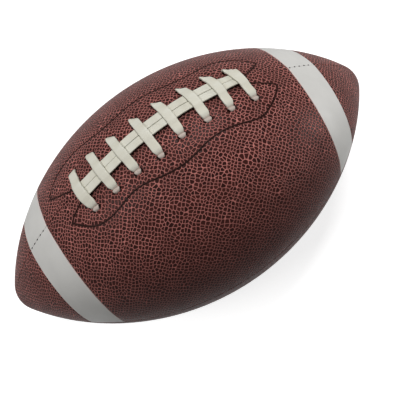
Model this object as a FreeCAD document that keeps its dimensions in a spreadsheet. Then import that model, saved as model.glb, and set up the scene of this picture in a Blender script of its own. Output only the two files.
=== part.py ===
"""A laced, inflatable american football, built in the layers of the real one.

Four cover panels with fabric linings are sewn along four seams that run from
tip to tip.  The top seam is left open in the middle and closed by one flat
lace.  A bladder with a valve fills the inside.

Frame: millimetres, origin at the centre of the ball, X along the ball, Z up
through the laced seam, Y across.  Front is -Y, left is -X.
"""
import FreeCAD, Part
import math
import os
import re

import Sketcher
from FreeCAD import Rotation, Vector

# ---------------------------------------------------------------- sizes ----
# Each row: name, value, what it measures.  Millimetres unless it says so.
SIZES = (
    # outline of the ball
    ("half_length", 143.0, "centre of the ball to a tip"),
    ("ball_radius", 80.0, "largest radius, at mid length"),
    ("tip_radius", 19.0, "roundness of a tip"),
    # cover, lining and seams
    ("cover_wall", 1.5, "thickness of a cover panel"),
    ("lining_wall", 1.2, "thickness of a lining"),
    ("lining_reach", 134.0, "centre to where the linings stop"),
    ("layer_gap", 0.2, "room between one layer and the next"),
    ("seam_gap", 0.1, "room between the two edges of a seam"),
    ("flange_wall", 1.2, "thickness of a turned-in seam edge"),
    ("flange_depth", 7.0, "how far a seam edge turns in below the surface"),
    ("valley_radius", 1.5, "roundness of the valley along a seam"),
    ("valley_depth", 0.6, "depth of the valley along a seam"),
    ("valley_reach", 175.0, "centre to where a valley's cut ends, along the surface"),
    # seam stitching
    ("thread_radius", 0.4, "half the thickness of the seam thread"),
    ("stitch_radius", 0.3, "half the thickness of the thread pulled tight in a stitch"),
    ("thread_play", 0.1, "room between the thread and what it passes"),
    ("stitch_depth", 3.9, "surface to the line of stitches"),
    ("stitch_pitch", 3.7, "length of one stitch along the seam"),
    ("sewn_start", 68.0, "centre to where the laced seam is sewn shut, along the surface"),
    ("sewn_reach", 128.0, "centre to the last stitch, along the surface"),
    # white stripes
    ("stripe_inner", 87.0, "centre to a stripe's inner edge"),
    ("stripe_width", 19.8, "width of a stripe along X"),
    ("stripe_wall", 0.75, "thickness of a stripe"),
    ("stripe_play", 0.15, "glue and edge room round a stripe"),
    # lacing
    ("lace_width", 5.6, "width of the flat lace"),
    ("lace_wall", 1.3, "thickness of the flat lace"),
    ("lace_pitch", 15.6, "one cross to the next, along the seam"),
    ("lace_reach", 15.5, "middle of the lacing to a lace hole"),
    ("lace_shift", -1.8, "middle of the lacing from the seam, along Y"),
    ("lace_play", 0.15, "room between the lace and what it lies on"),
    ("lace_depth", 8.4, "surface to the lowest side of the lace inside"),
    ("strand_split", 0.3, "space between the two lengthwise strands"),
    ("strand_reach", 58.4, "centre to a strand's end fold, along the surface"),
    ("tail_length", 5.0, "free end of the lace, tucked inside"),
    ("hole_play", 0.5, "room round the lace in its holes"),
    ("opening_reach", 63.0, "centre to the end of the laced opening"),
    # facings, their stitched outline and the tongue
    ("facing_wall", 1.0, "thickness of a facing"),
    ("facing_margin", 2.2, "facing beyond its stitched outline"),
    ("outline_crown", 28.2, "seam to the outline, at mid length"),
    ("outline_dip", 25.0, "seam to the outline, in its hollows"),
    ("outline_dip_at", 26.5, "centre to a hollow of the outline"),
    ("outline_lobe", 29.0, "seam to the outline, at its end lobes"),
    ("outline_lobe_at", 51.5, "centre to an end lobe of the outline"),
    ("outline_shoulder", 23.1, "seam to the outline, between an end lobe and its point"),
    ("outline_shoulder_at", 66.5, "centre to that shoulder of the outline"),
    ("outline_tip", 13.5, "seam to an end point of the outline"),
    ("outline_tip_at", 74.5, "centre to an end point of the outline"),
    ("outline_mouth", 4.5, "seam to where the outline turns to the seam"),
    ("outline_mouth_at", 62.0, "centre to where the outline meets the seam"),
    ("outline_thread", 0.7, "width of the outline's thread"),
    ("outline_sink", 0.5, "depth of the outline's groove"),
    ("tongue_play", 0.15, "more room between the lace's flat runs and the curved tongue"),
    ("tongue_wall", 1.0, "thickness of the tongue"),
    ("tongue_length", 144.0, "length of the tongue"),
    ("tongue_width", 48.0, "width of the tongue"),
    # bladder and valve
    ("bladder_wall", 1.0, "thickness of the bladder"),
    ("bladder_lobe", 118.0, "centre to where the bladder draws in at the tips"),
    ("pocket_room", 0.4, "room between the bladder and the facings and tongue"),
    ("patch_radius", 15.0, "radius of the patch round the valve"),
    ("patch_wall", 0.7, "thickness of the patch"),
    ("patch_play", 0.15, "glue room under the patch and under the valve's flange"),
    ("valve_flange_radius", 11.0, "radius of the valve's flange"),
    ("valve_flange_wall", 1.2, "thickness of the valve's flange"),
    ("valve_radius", 3.8, "radius of the valve's neck"),
    ("valve_sink", 0.3, "top of the valve below the surface"),
    ("valve_length", 16.0, "length of the valve"),
    ("valve_play", 0.2, "room round the valve's neck"),
    ("core_radius", 2.2, "radius of the valve's core"),
    ("core_head_radius", 2.9, "radius of the core's head"),
    ("core_head_wall", 1.2, "height of the core's head"),
    ("core_play", 0.05, "room round the core"),
    ("needle_radius", 1.05, "radius of the needle's hole"),
    ("needle_lead", 0.6, "width of the funnel at the needle's hole"),
    ("valve_lip", 1.0, "ledge that holds the core at the bottom"),
    # construction
    ("cut_room", 12.0, "how far a cutting shape stands out of the ball"),
)
ALIASES = {name for name, _, _ in SIZES}

doc = FreeCAD.newDocument("football")
sheet = doc.addObject("Spreadsheet::Sheet", "Sizes")
for row, (name, size, meaning) in enumerate(SIZES, start=1):
    sheet.set(f"A{row}", name)
    sheet.set(f"B{row}", str(size))
    sheet.set(f"C{row}", meaning)
    sheet.setAlias(f"B{row}", name)
doc.recompute()

# Radius of the long arc from tip to tip.
BEND = ("((half_length - tip_radius)^2 + ball_radius^2 - tip_radius^2)"
        " / (2 * (ball_radius - tip_radius))")
# Depths of the layers below the outer surface, at their outer sides.
LINING = "cover_wall + layer_gap"
LINING_BACK = f"{LINING} + lining_wall"
FACING = f"{LINING_BACK} + layer_gap"
FACING_BACK = f"{FACING} + facing_wall"
TONGUE = "lace_depth + lace_play + tongue_play"
TONGUE_BACK = f"{TONGUE} + tongue_wall"
BLADDER = f"{LINING_BACK} + layer_gap + thread_play"
BLADDER_BACK = f"{BLADDER} + bladder_wall"
# Distance from a seam's middle plane to the far side of its turned-in edge.
EDGE = "seam_gap / 2"
EDGE_BACK = "seam_gap / 2 + flange_wall"
INNER_EDGE = f"{EDGE_BACK} + layer_gap"


def named(text):
    """An expression with each size's name pointed at its cell."""
    def cell(word):
        return f"Sizes.{word[0]}" if word[0] in ALIASES else word[0]
    return re.sub(r"[a-z_]+", cell, text)


def value(text):
    """The number that an expression of named sizes gives."""
    result = sheet.evalExpression(named(text))
    return float(getattr(result, "Value", result))


def bind(item, prop, text):
    """Tie a property of an object to an expression of named sizes."""
    item.setExpression(prop, named(text))


# ---------------------------------------------------------- small helpers --
def add(kind, name, **links):
    item = doc.addObject(kind, name)
    for prop, target in links.items():
        setattr(item, prop, target)
    return item


def common(name, *shapes):
    return add("Part::MultiCommon", name, Shapes=list(shapes))


def fuse(name, *shapes):
    return add("Part::MultiFuse", name, Shapes=list(shapes))


def group(name, *shapes):
    return add("Part::Compound", name, Links=list(shapes))


def cut(name, base, *tools):
    """The base with each tool taken away in turn."""
    for count, tool in enumerate(tools, start=1):
        last = count == len(tools)
        base = add("Part::Cut", name if last else f"{name}_step{count}", Base=base, Tool=tool)
    return base


def box(name, low, high):
    """A box between two corners, each given as three expressions."""
    item = add("Part::Box", name)
    for side, axis, start, end in zip(("Length", "Width", "Height"), "xyz", low, high):
        bind(item, side, f"({end}) - ({start})")
        bind(item, f"Placement.Base.{axis}", start)
    return item


def along_seam(item, distance):
    """Move what stands at mid length to a distance along the seam's long arc."""
    item.Placement = FreeCAD.Placement(Vector(), Rotation(ACROSS, 1))
    angle = f"(({distance}) / ({BEND}) * 1 rad)"
    bind(item, "Placement.Rotation.Angle", angle)
    bind(item, "Placement.Base.x", f"({BEND} - ball_radius) * sin({angle})")
    bind(item, "Placement.Base.z", f"(ball_radius - {BEND}) * (1 - cos({angle}))")
    return item


def turned(item, angle):
    """Turn an object about the ball's long axis."""
    item.Placement = FreeCAD.Placement(Vector(), Rotation(ALONG, angle))
    return item


class Outline:
    """A closed sketch whose points all take their places from named sizes."""

    def __init__(self, name, plane):
        self.sketch = add("Sketcher::SketchObject", name)
        self.sketch.Placement = FreeCAD.Placement(Vector(), plane)
        self.first = None
        self.last = None

    def hold(self, kind, ends, text):
        """A dimension of the sketch that follows an expression."""
        number = self.sketch.addConstraint(Sketcher.Constraint(kind, *ends, value(text)))
        self.sketch.setExpression(f"Constraints[{number}]", named(text))

    def place(self, element, point, spot):
        self.hold("DistanceX", (-1, 1, element, point), spot[0])
        self.hold("DistanceY", (-1, 1, element, point), spot[1])

    def join(self, element, start_point, end_point, start, end, closes):
        """Chain a new element to the last one and hold the end that it adds."""
        if self.first is None:
            self.first = (element, start_point)
            self.place(element, start_point, start)
        else:
            self.sketch.addConstraint(
                Sketcher.Constraint("Coincident", *self.last, element, start_point))
        self.last = (element, end_point)
        if closes:
            self.sketch.addConstraint(
                Sketcher.Constraint("Coincident", *self.last, *self.first))
            self.first = None
        else:
            self.place(element, end_point, end)

    def line(self, start, end, closes=False):
        spots = [Vector(value(x), value(y), 0) for x, y in (start, end)]
        element = self.sketch.addGeometry(Part.LineSegment(*spots))
        self.join(element, 1, 2, start, end, closes)

    def lines(self, *spots):
        """Straight lines through the points and back to the first."""
        for number, start in enumerate(spots):
            closes = number == len(spots) - 1
            self.line(start, spots[0] if closes else spots[number + 1], closes)

    def arc(self, start, middle, end, closes=False):
        first, via, last = [Vector(value(x), value(y), 0) for x, y in (start, middle, end)]
        centre = Part.Arc(first, via, last).toShape().Curve.Center
        circle = Part.Circle(centre, Vector(0, 0, 1), (first - centre).Length)
        first_angle, last_angle = [
            math.atan2(spot.y - centre.y, spot.x - centre.x) for spot in (first, last)]
        forward = (last - first).cross(via - first).z < 0
        ends = (first_angle, last_angle) if forward else (last_angle, first_angle)
        element = self.sketch.addGeometry(Part.ArcOfCircle(circle, *ends))
        self.join(element, *((1, 2) if forward else (2, 1)), start, end, closes)
        middle_point = self.sketch.addGeometry(Part.Point(via), True)
        self.place(middle_point, 1, middle)
        self.sketch.addConstraint(
            Sketcher.Constraint("PointOnObject", middle_point, 1, element))

    def circle(self, spot, radius):
        centre = Vector(value(spot[0]), value(spot[1]), 0)
        element = self.sketch.addGeometry(
            Part.Circle(centre, Vector(0, 0, 1), value(radius)))
        self.place(element, 3, spot)
        self.hold("Radius", (element,), radius)


def raised(name, outline, low, high):
    """A sketch on the ground plane, made solid between two heights."""
    item = add("Part::Extrusion", name, Base=outline.sketch, DirMode="Custom",
               Dir=Vector(0, 0, 1), Solid=True)
    bind(item, "LengthFwd", high)
    bind(item, "LengthRev", f"-({low})")
    return item


def swept(name, outline, length):
    """A section at mid length, carried along the seam's long arc both ways."""
    item = add("Part::Revolution", name, Source=outline.sketch, Axis=ACROSS,
               Solid=True, Symmetric=True)
    bind(item, "Base.z", f"ball_radius - {BEND}")
    bind(item, "Angle", f"({length}) / ({BEND}) * 1 rad")
    return item


ALONG = Vector(1, 0, 0)
ACROSS = Vector(0, 1, 0)
GROUND = Rotation()                       # sketch x, y are X, Y
SIDE = Rotation(Vector(1, 0, 0), 90)      # sketch x, y are X, Z
SECTION = Rotation(Vector(1, 1, 1), 120)  # sketch x, y are Y, Z
PANELS = (
    ("front_top", -1, 1), ("rear_top", 1, 1),
    ("front_bottom", -1, -1), ("rear_bottom", 1, -1))
SIDES = {-1: "left", 1: "right"}
LEVEL_ENDS = ("-half_length - cut_room", "half_length + cut_room")
FAR = "ball_radius + cut_room"


# ------------------------------------------------------- shared outlines ---
spindles = {}


def spindle(depth="0"):
    """The ball's whole form, a depth inside its outer surface."""
    if depth in spindles:
        return spindles[depth]
    name = f"form_{len(spindles)}"
    outline = Outline(f"{name}_outline", SIDE)
    sketch = outline.sketch
    long_radius = value(f"{BEND} - ({depth})")
    tip_radius = value(f"tip_radius - ({depth})")
    tip_centre = value("half_length - tip_radius")
    centre_height = value(f"ball_radius - {BEND}")
    lean = math.atan2(-centre_height, tip_centre)
    up = Vector(0, 0, 1)
    right = sketch.addGeometry(Part.ArcOfCircle(
        Part.Circle(Vector(tip_centre, 0, 0), up, tip_radius), 0, lean))
    top = sketch.addGeometry(Part.ArcOfCircle(
        Part.Circle(Vector(0, centre_height, 0), up, long_radius), lean, math.pi - lean))
    left = sketch.addGeometry(Part.ArcOfCircle(
        Part.Circle(Vector(-tip_centre, 0, 0), up, tip_radius), math.pi - lean, math.pi))
    reach = tip_centre + tip_radius
    axis = sketch.addGeometry(Part.LineSegment(Vector(-reach, 0, 0), Vector(reach, 0, 0)))
    crown = sketch.addGeometry(Part.Point(Vector(0, centre_height + long_radius, 0)), True)
    for rule in (
            ("Tangent", right, 2, top, 1), ("Tangent", top, 2, left, 1),
            ("Coincident", left, 2, axis, 1), ("Coincident", axis, 2, right, 1),
            ("PointOnObject", right, 3, -1), ("PointOnObject", left, 3, -1),
            ("PointOnObject", axis, 1, -1), ("PointOnObject", axis, 2, -1),
            ("PointOnObject", crown, 1, -2), ("PointOnObject", crown, 1, top)):
        sketch.addConstraint(Sketcher.Constraint(*rule))
    outline.hold("DistanceX", (-1, 1, axis, 2), f"half_length - ({depth})")
    outline.hold("DistanceX", (-1, 1, axis, 1), f"({depth}) - half_length")
    outline.hold("DistanceY", (-1, 1, crown, 1), f"ball_radius - ({depth})")
    outline.hold("Radius", (right,), f"tip_radius - ({depth})")
    outline.hold("Radius", (left,), f"tip_radius - ({depth})")
    spindles[depth] = add("Part::Revolution", name, Source=sketch, Axis=ALONG,
                          Angle=360, Solid=True)
    return spindles[depth]


def quarter(name, side, level, edge):
    """A box over one panel, its inner sides a distance off both seam planes."""
    def span(sign):
        near, far = edge, FAR
        return (near, far) if sign > 0 else (f"-({far})", f"-({near})")
    across, height = span(side), span(level)
    return box(name, (LEVEL_ENDS[0], across[0], height[0]), (LEVEL_ENDS[1], across[1], height[1]))


def shell(name, outer, inner, *limits):
    """The layer between two depths, inside every limit given."""
    return cut(name, common(f"{name}_block", spindle(outer), *limits), spindle(inner))


def outside(name, limit, depth):
    """What a limit holds outside the ball's form at a depth."""
    return cut(name, limit, spindle(depth))


# ----------------------------------------------------------- cut-out tools -
def stripe_slab(name, side, play):
    """The stretch of the ball's length that a stripe covers, less an edge room."""
    near = f"stripe_inner + ({play})"
    far = f"stripe_inner + stripe_width - ({play})"
    ends = (near, far) if side > 0 else (f"-({far})", f"-({near})")
    return box(name, (ends[0], f"-({FAR})", "0"), (ends[1], FAR, FAR))


def stripe_recess(side):
    """What the shallow bed of a stripe takes out of the two panels by the lacing."""
    name = f"stripe_bed_{SIDES[side]}"
    return outside(name, stripe_slab(f"{name}_slab", side, "0"), "stripe_wall + stripe_play")


def seam_valley(name, angle):
    """A round-bottomed groove along the outside of one seam."""
    section = Outline(f"{name}_section", SECTION)
    section.circle(("0", "ball_radius + valley_radius - valley_depth"), "valley_radius")
    return turned(group(f"{name}_turned", swept(name, section, "2 * valley_reach")), angle)


def stitch_stations(start, end):
    """Whole stitch pitches along the seam, from one distance to another."""
    pitch = value("stitch_pitch")
    return range(math.ceil(value(start) / pitch), math.floor(value(end) / pitch) + 1)


def stitch_bars(name, stations, radius, reach):
    """Short rods through both edges of the top seam, one at each stitch."""
    bars = []
    for count, station in enumerate(stations):
        bar = add("Part::Cylinder", f"{name}_{count}")
        angle = f"({station} * stitch_pitch / ({BEND}) * 1 rad)"
        arm = f"({BEND} - stitch_depth)"
        bind(bar, "Radius", radius)
        bind(bar, "Height", f"2 * ({reach})")
        bar.Placement = FreeCAD.Placement(Vector(), Rotation(ALONG, -90))
        bind(bar, "Placement.Base.x", f"{arm} * sin({angle})")
        bind(bar, "Placement.Base.y", f"-({reach})")
        bind(bar, "Placement.Base.z", f"ball_radius - {BEND} + {arm} * cos({angle})")
        bars.append(bar)
    return bars


def stitch_rails(name, start, end):
    """The two lines of thread along the backs of a seam's edges, on one stretch."""
    rails = []
    for side in (-1, 1):
        across, height = f"{side} * ({RAIL})", "ball_radius - stitch_depth"
        section = Outline(f"{name}_section_{side + 1}", SECTION)
        section.lines(*[(f"{across} {y} thread_radius", f"{height} {z} thread_radius")
                        for y, z in ("--", "+-", "++", "-+")])
        rail = swept(f"{name}_{side + 1}", section, f"({end}) - ({start})")
        rails.append(along_seam(rail, f"(({start}) + ({end})) / 2"))
    return rails


RAIL = f"{EDGE_BACK} + thread_play + thread_radius"
full_seam = stitch_stations("-sewn_reach", "sewn_reach")
sewn_stretch = stitch_stations("sewn_start", "sewn_reach")
hole_size = ("stitch_radius + thread_play", f"{EDGE_BACK} + thread_radius")

side_holes = {
    angle: turned(group(f"needle_holes_{angle}", *stitch_bars(
        f"needle_hole_{angle}", full_seam, *hole_size)), angle)
    for angle in (90, 180, 270)}
top_holes = group("needle_holes_0", *(
    stitch_bars("needle_hole_right", sewn_stretch, *hole_size)
    + stitch_bars("needle_hole_left", [-station for station in sewn_stretch], *hole_size)))
valleys = {angle: seam_valley(f"valley_{angle}", angle) for angle in (0, 90, 180, 270)}
stripe_beds = [stripe_recess(side) for side in (-1, 1)]

# Slots for the lace: one pair at each cross, square to the surface along the seam.
CROSSES = 8
cross_places = [
    f"({number} - {(CROSSES - 1) / 2}) * lace_pitch" for number in range(CROSSES)]


def slot_pair():
    """The outline of the two round-ended holes under one cross."""
    outline = Outline("lace_hole_outline", GROUND)
    half_width = "(lace_wall / 2 + hole_play)"
    reach = "(lace_width / 2 + hole_play)"
    for side in (-1, 1):
        middle = f"(lace_shift + ({side}) * lace_reach)"
        low, high = f"{middle} - {half_width}", f"{middle} + {half_width}"
        bend = f"{reach} - {half_width}"
        outline.line((f"-({bend})", low), (bend, low))
        outline.arc((bend, low), (reach, middle), (bend, high))
        outline.line((bend, high), (f"-({bend})", high))
        outline.arc((f"-({bend})", high), (f"-{reach}", middle), (f"-({bend})", low),
                    closes=True)
    return outline


lace_slot_outline = slot_pair()
lace_slots = group("lace_holes", *[
    along_seam(raised(f"lace_hole_{number}", lace_slot_outline,
                      "ball_radius - lace_depth", FAR), place)
    for number, place in enumerate(cross_places, start=1)])

STRANDS = {"front": ("lace_shift - strand_split / 2 - lace_width", "lace_shift - strand_split / 2"),
           "rear": ("lace_shift + strand_split / 2", "lace_shift + strand_split / 2 + lace_width")}
strand_notches = group("strand_notches", *[
    along_seam(group(f"strand_notch_{SIDES[side]}", box(
        f"strand_notch_box_{SIDES[side]}",
        ("-lace_wall / 2 - hole_play", f"{STRANDS['front'][0]} - hole_play",
         "ball_radius - lace_depth"),
        ("lace_wall / 2 + hole_play", f"{STRANDS['rear'][1]} + hole_play", FAR))),
        f"{side} * strand_reach")
    for side in (-1, 1)])

# Inside the opening the panels' edges stop level with the backs of the facings.
opening_trim = common(
    "opening_trim", spindle(FACING_BACK),
    box("opening_trim_box", ("-opening_reach", f"-({INNER_EDGE})", "0"),
        ("opening_reach", INNER_EDGE, FAR)))


# The outline stitched round the lacing, as one closed line over both panels.
def facing_outline():
    outline = Outline("facing_outline", GROUND)
    turn_at = "outline_dip_at / 2"
    turn = "(outline_crown + outline_dip) / 2"
    rise_at = "(outline_dip_at + outline_lobe_at) / 2"
    rise = "(outline_lobe + outline_dip) / 2"
    fall_at = "(2 * outline_lobe_at - (outline_dip_at + outline_lobe_at) / 2)"
    mirror = {1: lambda text: text, -1: lambda text: f"-({text})"}

    def run(across, along, backwards):
        """One long side, from one end point to the other."""
        x, y = mirror[along], mirror[across]
        arcs = [
            ((x("outline_tip_at"), y("outline_tip")),
             (x("outline_shoulder_at"), y("outline_shoulder")), (x(fall_at), y(rise))),
            ((x(fall_at), y(rise)), (x("outline_lobe_at"), y("outline_lobe")),
             (x(rise_at), y(rise))),
            ((x(rise_at), y(rise)), (x("outline_dip_at"), y("outline_dip")),
             (x(turn_at), y(turn)))]
        if backwards:
            arcs = [(end, middle, start) for start, middle, end in reversed(arcs)]
        for arc in arcs:
            outline.arc(*arc)

    def crown(across, along):
        x, y = mirror[along], mirror[across]
        outline.arc((x(turn_at), y(turn)), ("0", y("outline_crown")), (x(f"-({turn_at})"), y(turn)))

    def end(along, closes):
        """One end, where the outline turns in to the seam and out again."""
        x = mirror[along]
        across = -along
        tips = [(x("outline_tip_at"), mirror[side]("outline_tip")) for side in (across, -across)]
        mouths = [(x("outline_mouth_at"), mirror[side]("outline_mouth"))
                  for side in (across, -across)]
        outline.line(tips[0], mouths[0])
        outline.line(mouths[0], mouths[1])
        outline.line(mouths[1], tips[1], closes)

    run(1, 1, False)
    crown(1, 1)
    run(1, -1, True)
    end(-1, False)
    run(-1, -1, False)
    crown(-1, -1)
    run(-1, 1, True)
    end(1, True)
    return outline


facing_line = facing_outline()


def facing_prism(name, margin):
    """The outline, grown by a margin and raised through the top of the ball."""
    grown = add("Part::Offset2D", f"{name}_line", Source=facing_line.sketch)
    bind(grown, "Value", margin)
    item = add("Part::Extrusion", name, Base=grown, DirMode="Custom",
               Dir=Vector(0, 0, 1), Solid=True)
    bind(item, "LengthFwd", FAR)
    return item


def facing_band(name, width):
    """A band of a width along the outline."""
    return cut(name, facing_prism(f"{name}_out", f"({width}) / 2"),
               facing_prism(f"{name}_in", f"-({width}) / 2"))


outline_groove = outside("outline_groove", facing_band(
    "outline_groove_band", "outline_thread + 2 * thread_play"), "outline_sink")

# The valve stands square to the middle of the rear bottom panel.
VALVE_ANGLE = -135


def valve_rod(name, radius):
    rod = add("Part::Cylinder", name)
    bind(rod, "Radius", radius)
    bind(rod, "Height", FAR)
    return turned(rod, VALVE_ANGLE)


valve_hole = valve_rod("valve_hole", "valve_radius + valve_play")

# ------------------------------------------------------------------ pieces --
parts = {}


def keep(node, item):
    item.Label = node
    parts[node] = item


def cover_panel(spot, side, level):
    """A quarter of the cover, with the seam edges turned in along both seams."""
    name = f"cover_{spot}"
    block = common(f"{name}_block", spindle(), quarter(f"{name}_quarter", side, level, EDGE))
    hollow = common(f"{name}_hollow", spindle("cover_wall"),
                    quarter(f"{name}_inner", side, level, EDGE_BACK))
    side_angle = 90 if side < 0 else 270
    cap_angle = 0 if level > 0 else 180
    tools = [hollow, spindle("flange_depth"), valleys[side_angle], valleys[cap_angle],
             side_holes[side_angle]]
    if level > 0:
        tools += [*stripe_beds, opening_trim, top_holes, lace_slots, strand_notches,
                  outline_groove]
    else:
        tools.append(side_holes[cap_angle])
    if spot == "rear_bottom":
        tools.append(valve_hole)
    keep(name, cut(f"{name}_piece", block, *tools))


def lining(spot, side, level):
    """Fabric behind a panel, between its turned-in edges."""
    name = f"lining_{spot}"
    limit = quarter(f"{name}_quarter", side, level, INNER_EDGE)
    bind(limit, "Length", "2 * lining_reach")
    bind(limit, "Placement.Base.x", "-lining_reach")
    layer = shell(f"{name}_layer", LINING, LINING_BACK, limit)
    tools = []
    if level > 0:
        tools += [lace_slots, strand_notches]
    if spot == "rear_bottom":
        tools.append(valve_hole)
    keep(name, cut(f"{name}_piece", layer, *tools) if tools else layer)


def stripe(spot, side, end):
    """A smooth white piece let into a panel, from the laced seam to the side seam."""
    name = f"stripe_{spot}_{SIDES[end]}"
    strip = shell(f"{name}_layer", "0", "stripe_wall",
                  stripe_slab(f"{name}_slab", end, "stripe_play"),
                  quarter(f"{name}_quarter", side, 1, EDGE))
    side_angle = 90 if side < 0 else 270
    keep(name, cut(f"{name}_piece", strip, valleys[0], valleys[side_angle]))


for spot, side, level in PANELS:
    cover_panel(spot, side, level)
    lining(spot, side, level)
for spot, side in (("front", -1), ("rear", 1)):
    for end in (-1, 1):
        stripe(spot, side, end)


def sewn(name, stations, start, end):
    """Thread pulled flat along the top seam, with a stitch at each station."""
    return fuse(name, *stitch_rails(f"{name}_rail", start, end),
                *stitch_bars(f"{name}_bar", stations, "stitch_radius", RAIL))


for spot, angle in (("front", 90), ("bottom", 180), ("rear", 270)):
    name = f"seam_thread_{spot}"
    keep(name, turned(sewn(f"{name}_piece", full_seam, "-sewn_reach", "sewn_reach"), angle))
for side, ends in ((-1, ("-sewn_reach", "-sewn_start")), (1, ("sewn_start", "sewn_reach"))):
    name = f"seam_thread_{SIDES[side]}"
    keep(name, sewn(f"{name}_piece", [side * station for station in sewn_stretch], *ends))

# --------------------------------------------------------------- the lace ---
STRAND_TOP = "ball_radius + lace_play + lace_wall"
LEG_OUT = "(lace_reach + lace_wall / 2)"
LEG_IN = "(lace_reach - lace_wall / 2)"
LEG_FOOT = "ball_radius - lace_depth"
# Where a cross leaves the surface, and its underside over the two strands.
CROSS_LOW = ("(sqrt(ball_radius^2 - (lace_reach - lace_wall / 2 - hole_play"
             " - abs(lace_shift))^2) + lace_play)")
STRAND_SHARE = f"((strand_split / 2 + lace_width) / {LEG_IN})^2"
CROSS_HIGH = (f"(({STRAND_TOP} + lace_play - {STRAND_SHARE} * {CROSS_LOW})"
              f" / (1 - {STRAND_SHARE}))")


def cross_outline():
    """A cross from the side: an arch over the strands with a leg in each hole."""
    outline = Outline("lace_cross_outline", SECTION)
    front_out, front_in = f"lace_shift - {LEG_OUT}", f"lace_shift - {LEG_IN}"
    rear_in, rear_out = f"lace_shift + {LEG_IN}", f"lace_shift + {LEG_OUT}"
    outline.line((front_out, LEG_FOOT), (front_out, CROSS_LOW))
    outline.arc((front_out, CROSS_LOW), ("lace_shift", f"{CROSS_HIGH} + lace_wall"),
                (rear_out, CROSS_LOW))
    outline.line((rear_out, CROSS_LOW), (rear_out, LEG_FOOT))
    outline.line((rear_out, LEG_FOOT), (rear_in, LEG_FOOT))
    outline.line((rear_in, LEG_FOOT), (rear_in, CROSS_LOW))
    outline.arc((rear_in, CROSS_LOW), ("lace_shift", CROSS_HIGH), (front_in, CROSS_LOW))
    outline.line((front_in, CROSS_LOW), (front_in, LEG_FOOT))
    outline.line((front_in, LEG_FOOT), (front_out, LEG_FOOT), closes=True)
    return outline


def lace_cross(number, outline, place):
    item = add("Part::Extrusion", f"lace_cross_{number}", Base=outline.sketch,
               DirMode="Custom", Dir=ALONG, Solid=True)
    bind(item, "LengthFwd", "lace_width / 2")
    bind(item, "LengthRev", "lace_width / 2")
    return along_seam(item, place)


def under_outline():
    """A slanted run inside, from a rear hole to the next cross's front hole."""
    outline = Outline("lace_under_outline", GROUND)
    start, end = f"lace_shift + {LEG_OUT}", f"lace_shift - {LEG_OUT}"
    outline.lines(("-lace_pitch / 2 - lace_width / 2", start),
                  ("-lace_pitch / 2 + lace_width / 2", start),
                  ("lace_pitch / 2 + lace_width / 2", end),
                  ("lace_pitch / 2 - lace_width / 2", end))
    return outline


def strand(spot):
    """One lengthwise strand on top, and the folds at its two ends."""
    low, high = STRANDS[spot]
    outline = Outline(f"lace_strand_{spot}_section", SECTION)
    bottom = "ball_radius + lace_play"
    outline.lines((low, bottom), (high, bottom), (high, STRAND_TOP), (low, STRAND_TOP))
    pieces = [swept(f"lace_strand_{spot}", outline, "2 * strand_reach")]
    for end in (-1, 1):
        name = f"lace_fold_{spot}_{SIDES[end]}"
        fold = box(f"{name}_box", ("-lace_wall / 2", low, LEG_FOOT),
                   ("lace_wall / 2", high, STRAND_TOP))
        pieces.append(along_seam(group(name, fold), f"{end} * strand_reach"))
    return pieces


def inner_run(name, place, near, far, low, high):
    """A flat stretch of lace inside the ball, at the foot of the legs."""
    run = box(f"{name}_box", (near, low, LEG_FOOT), (far, high, f"{LEG_FOOT} + lace_wall"))
    return along_seam(group(name, run), place)


def whole_lace():
    """One lace: up at the left end, along the top, back across and along again."""
    cross = cross_outline()
    crosses = [lace_cross(number, cross, place)
               for number, place in enumerate(cross_places, start=1)]
    under = under_outline()
    unders = [along_seam(raised(f"lace_under_{number}", under, LEG_FOOT,
                                f"{LEG_FOOT} + lace_wall"),
                         f"({number} - {CROSSES / 2}) * lace_pitch")
              for number in range(1, CROSSES)]
    last_cross = f"({(CROSSES - 1) / 2} * lace_pitch)"
    turn_half = f"(strand_reach - {last_cross}) / 2"
    near, far = f"-{turn_half} - lace_width / 2", f"{turn_half} + lace_wall / 2"
    turn_place = f"(strand_reach + {last_cross}) / 2"
    right_turn = inner_run("lace_turn_right", turn_place, near, far,
                           f"lace_shift - {LEG_OUT}", STRANDS["front"][1])
    left_turn = inner_run("lace_turn_left", f"-{turn_place}", f"-({far})", f"-({near})",
                          STRANDS["rear"][0], f"lace_shift + {LEG_OUT}")
    tails = [
        inner_run("lace_tail_left", "-strand_reach", "-tail_length", "lace_wall / 2",
                  *STRANDS["front"]),
        inner_run("lace_tail_right", "strand_reach", "-lace_wall / 2", "tail_length",
                  *STRANDS["rear"])]
    return fuse("lace_piece", *crosses, *unders, *strand("front"), *strand("rear"),
                right_turn, left_turn, *tails)


keep("lace", whole_lace())

# ------------------------------------------- facings, outline thread, tongue --
facing_block = facing_prism("facing_block", "facing_margin")
thread_band = facing_band("thread_band", "outline_thread")
for spot, side in (("front", -1), ("rear", 1)):
    name = f"lace_facing_{spot}"
    layer = shell(f"{name}_layer", FACING, FACING_BACK, facing_block,
                  quarter(f"{name}_quarter", side, 1, INNER_EDGE))
    keep(name, cut(f"{name}_piece", layer, lace_slots, strand_notches))
    name = f"facing_thread_{spot}"
    layer = shell(f"{name}_layer", "0", "outline_sink - thread_play", thread_band,
                  quarter(f"{name}_quarter", side, 1, EDGE))
    keep(name, cut(f"{name}_piece", layer, valleys[0]))

keep("lace_tongue", shell("lace_tongue_piece", TONGUE, TONGUE_BACK, box(
    "lace_tongue_box", ("-tongue_length / 2", "lace_shift - tongue_width / 2", "0"),
    ("tongue_length / 2", "lace_shift + tongue_width / 2", FAR))))


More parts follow.
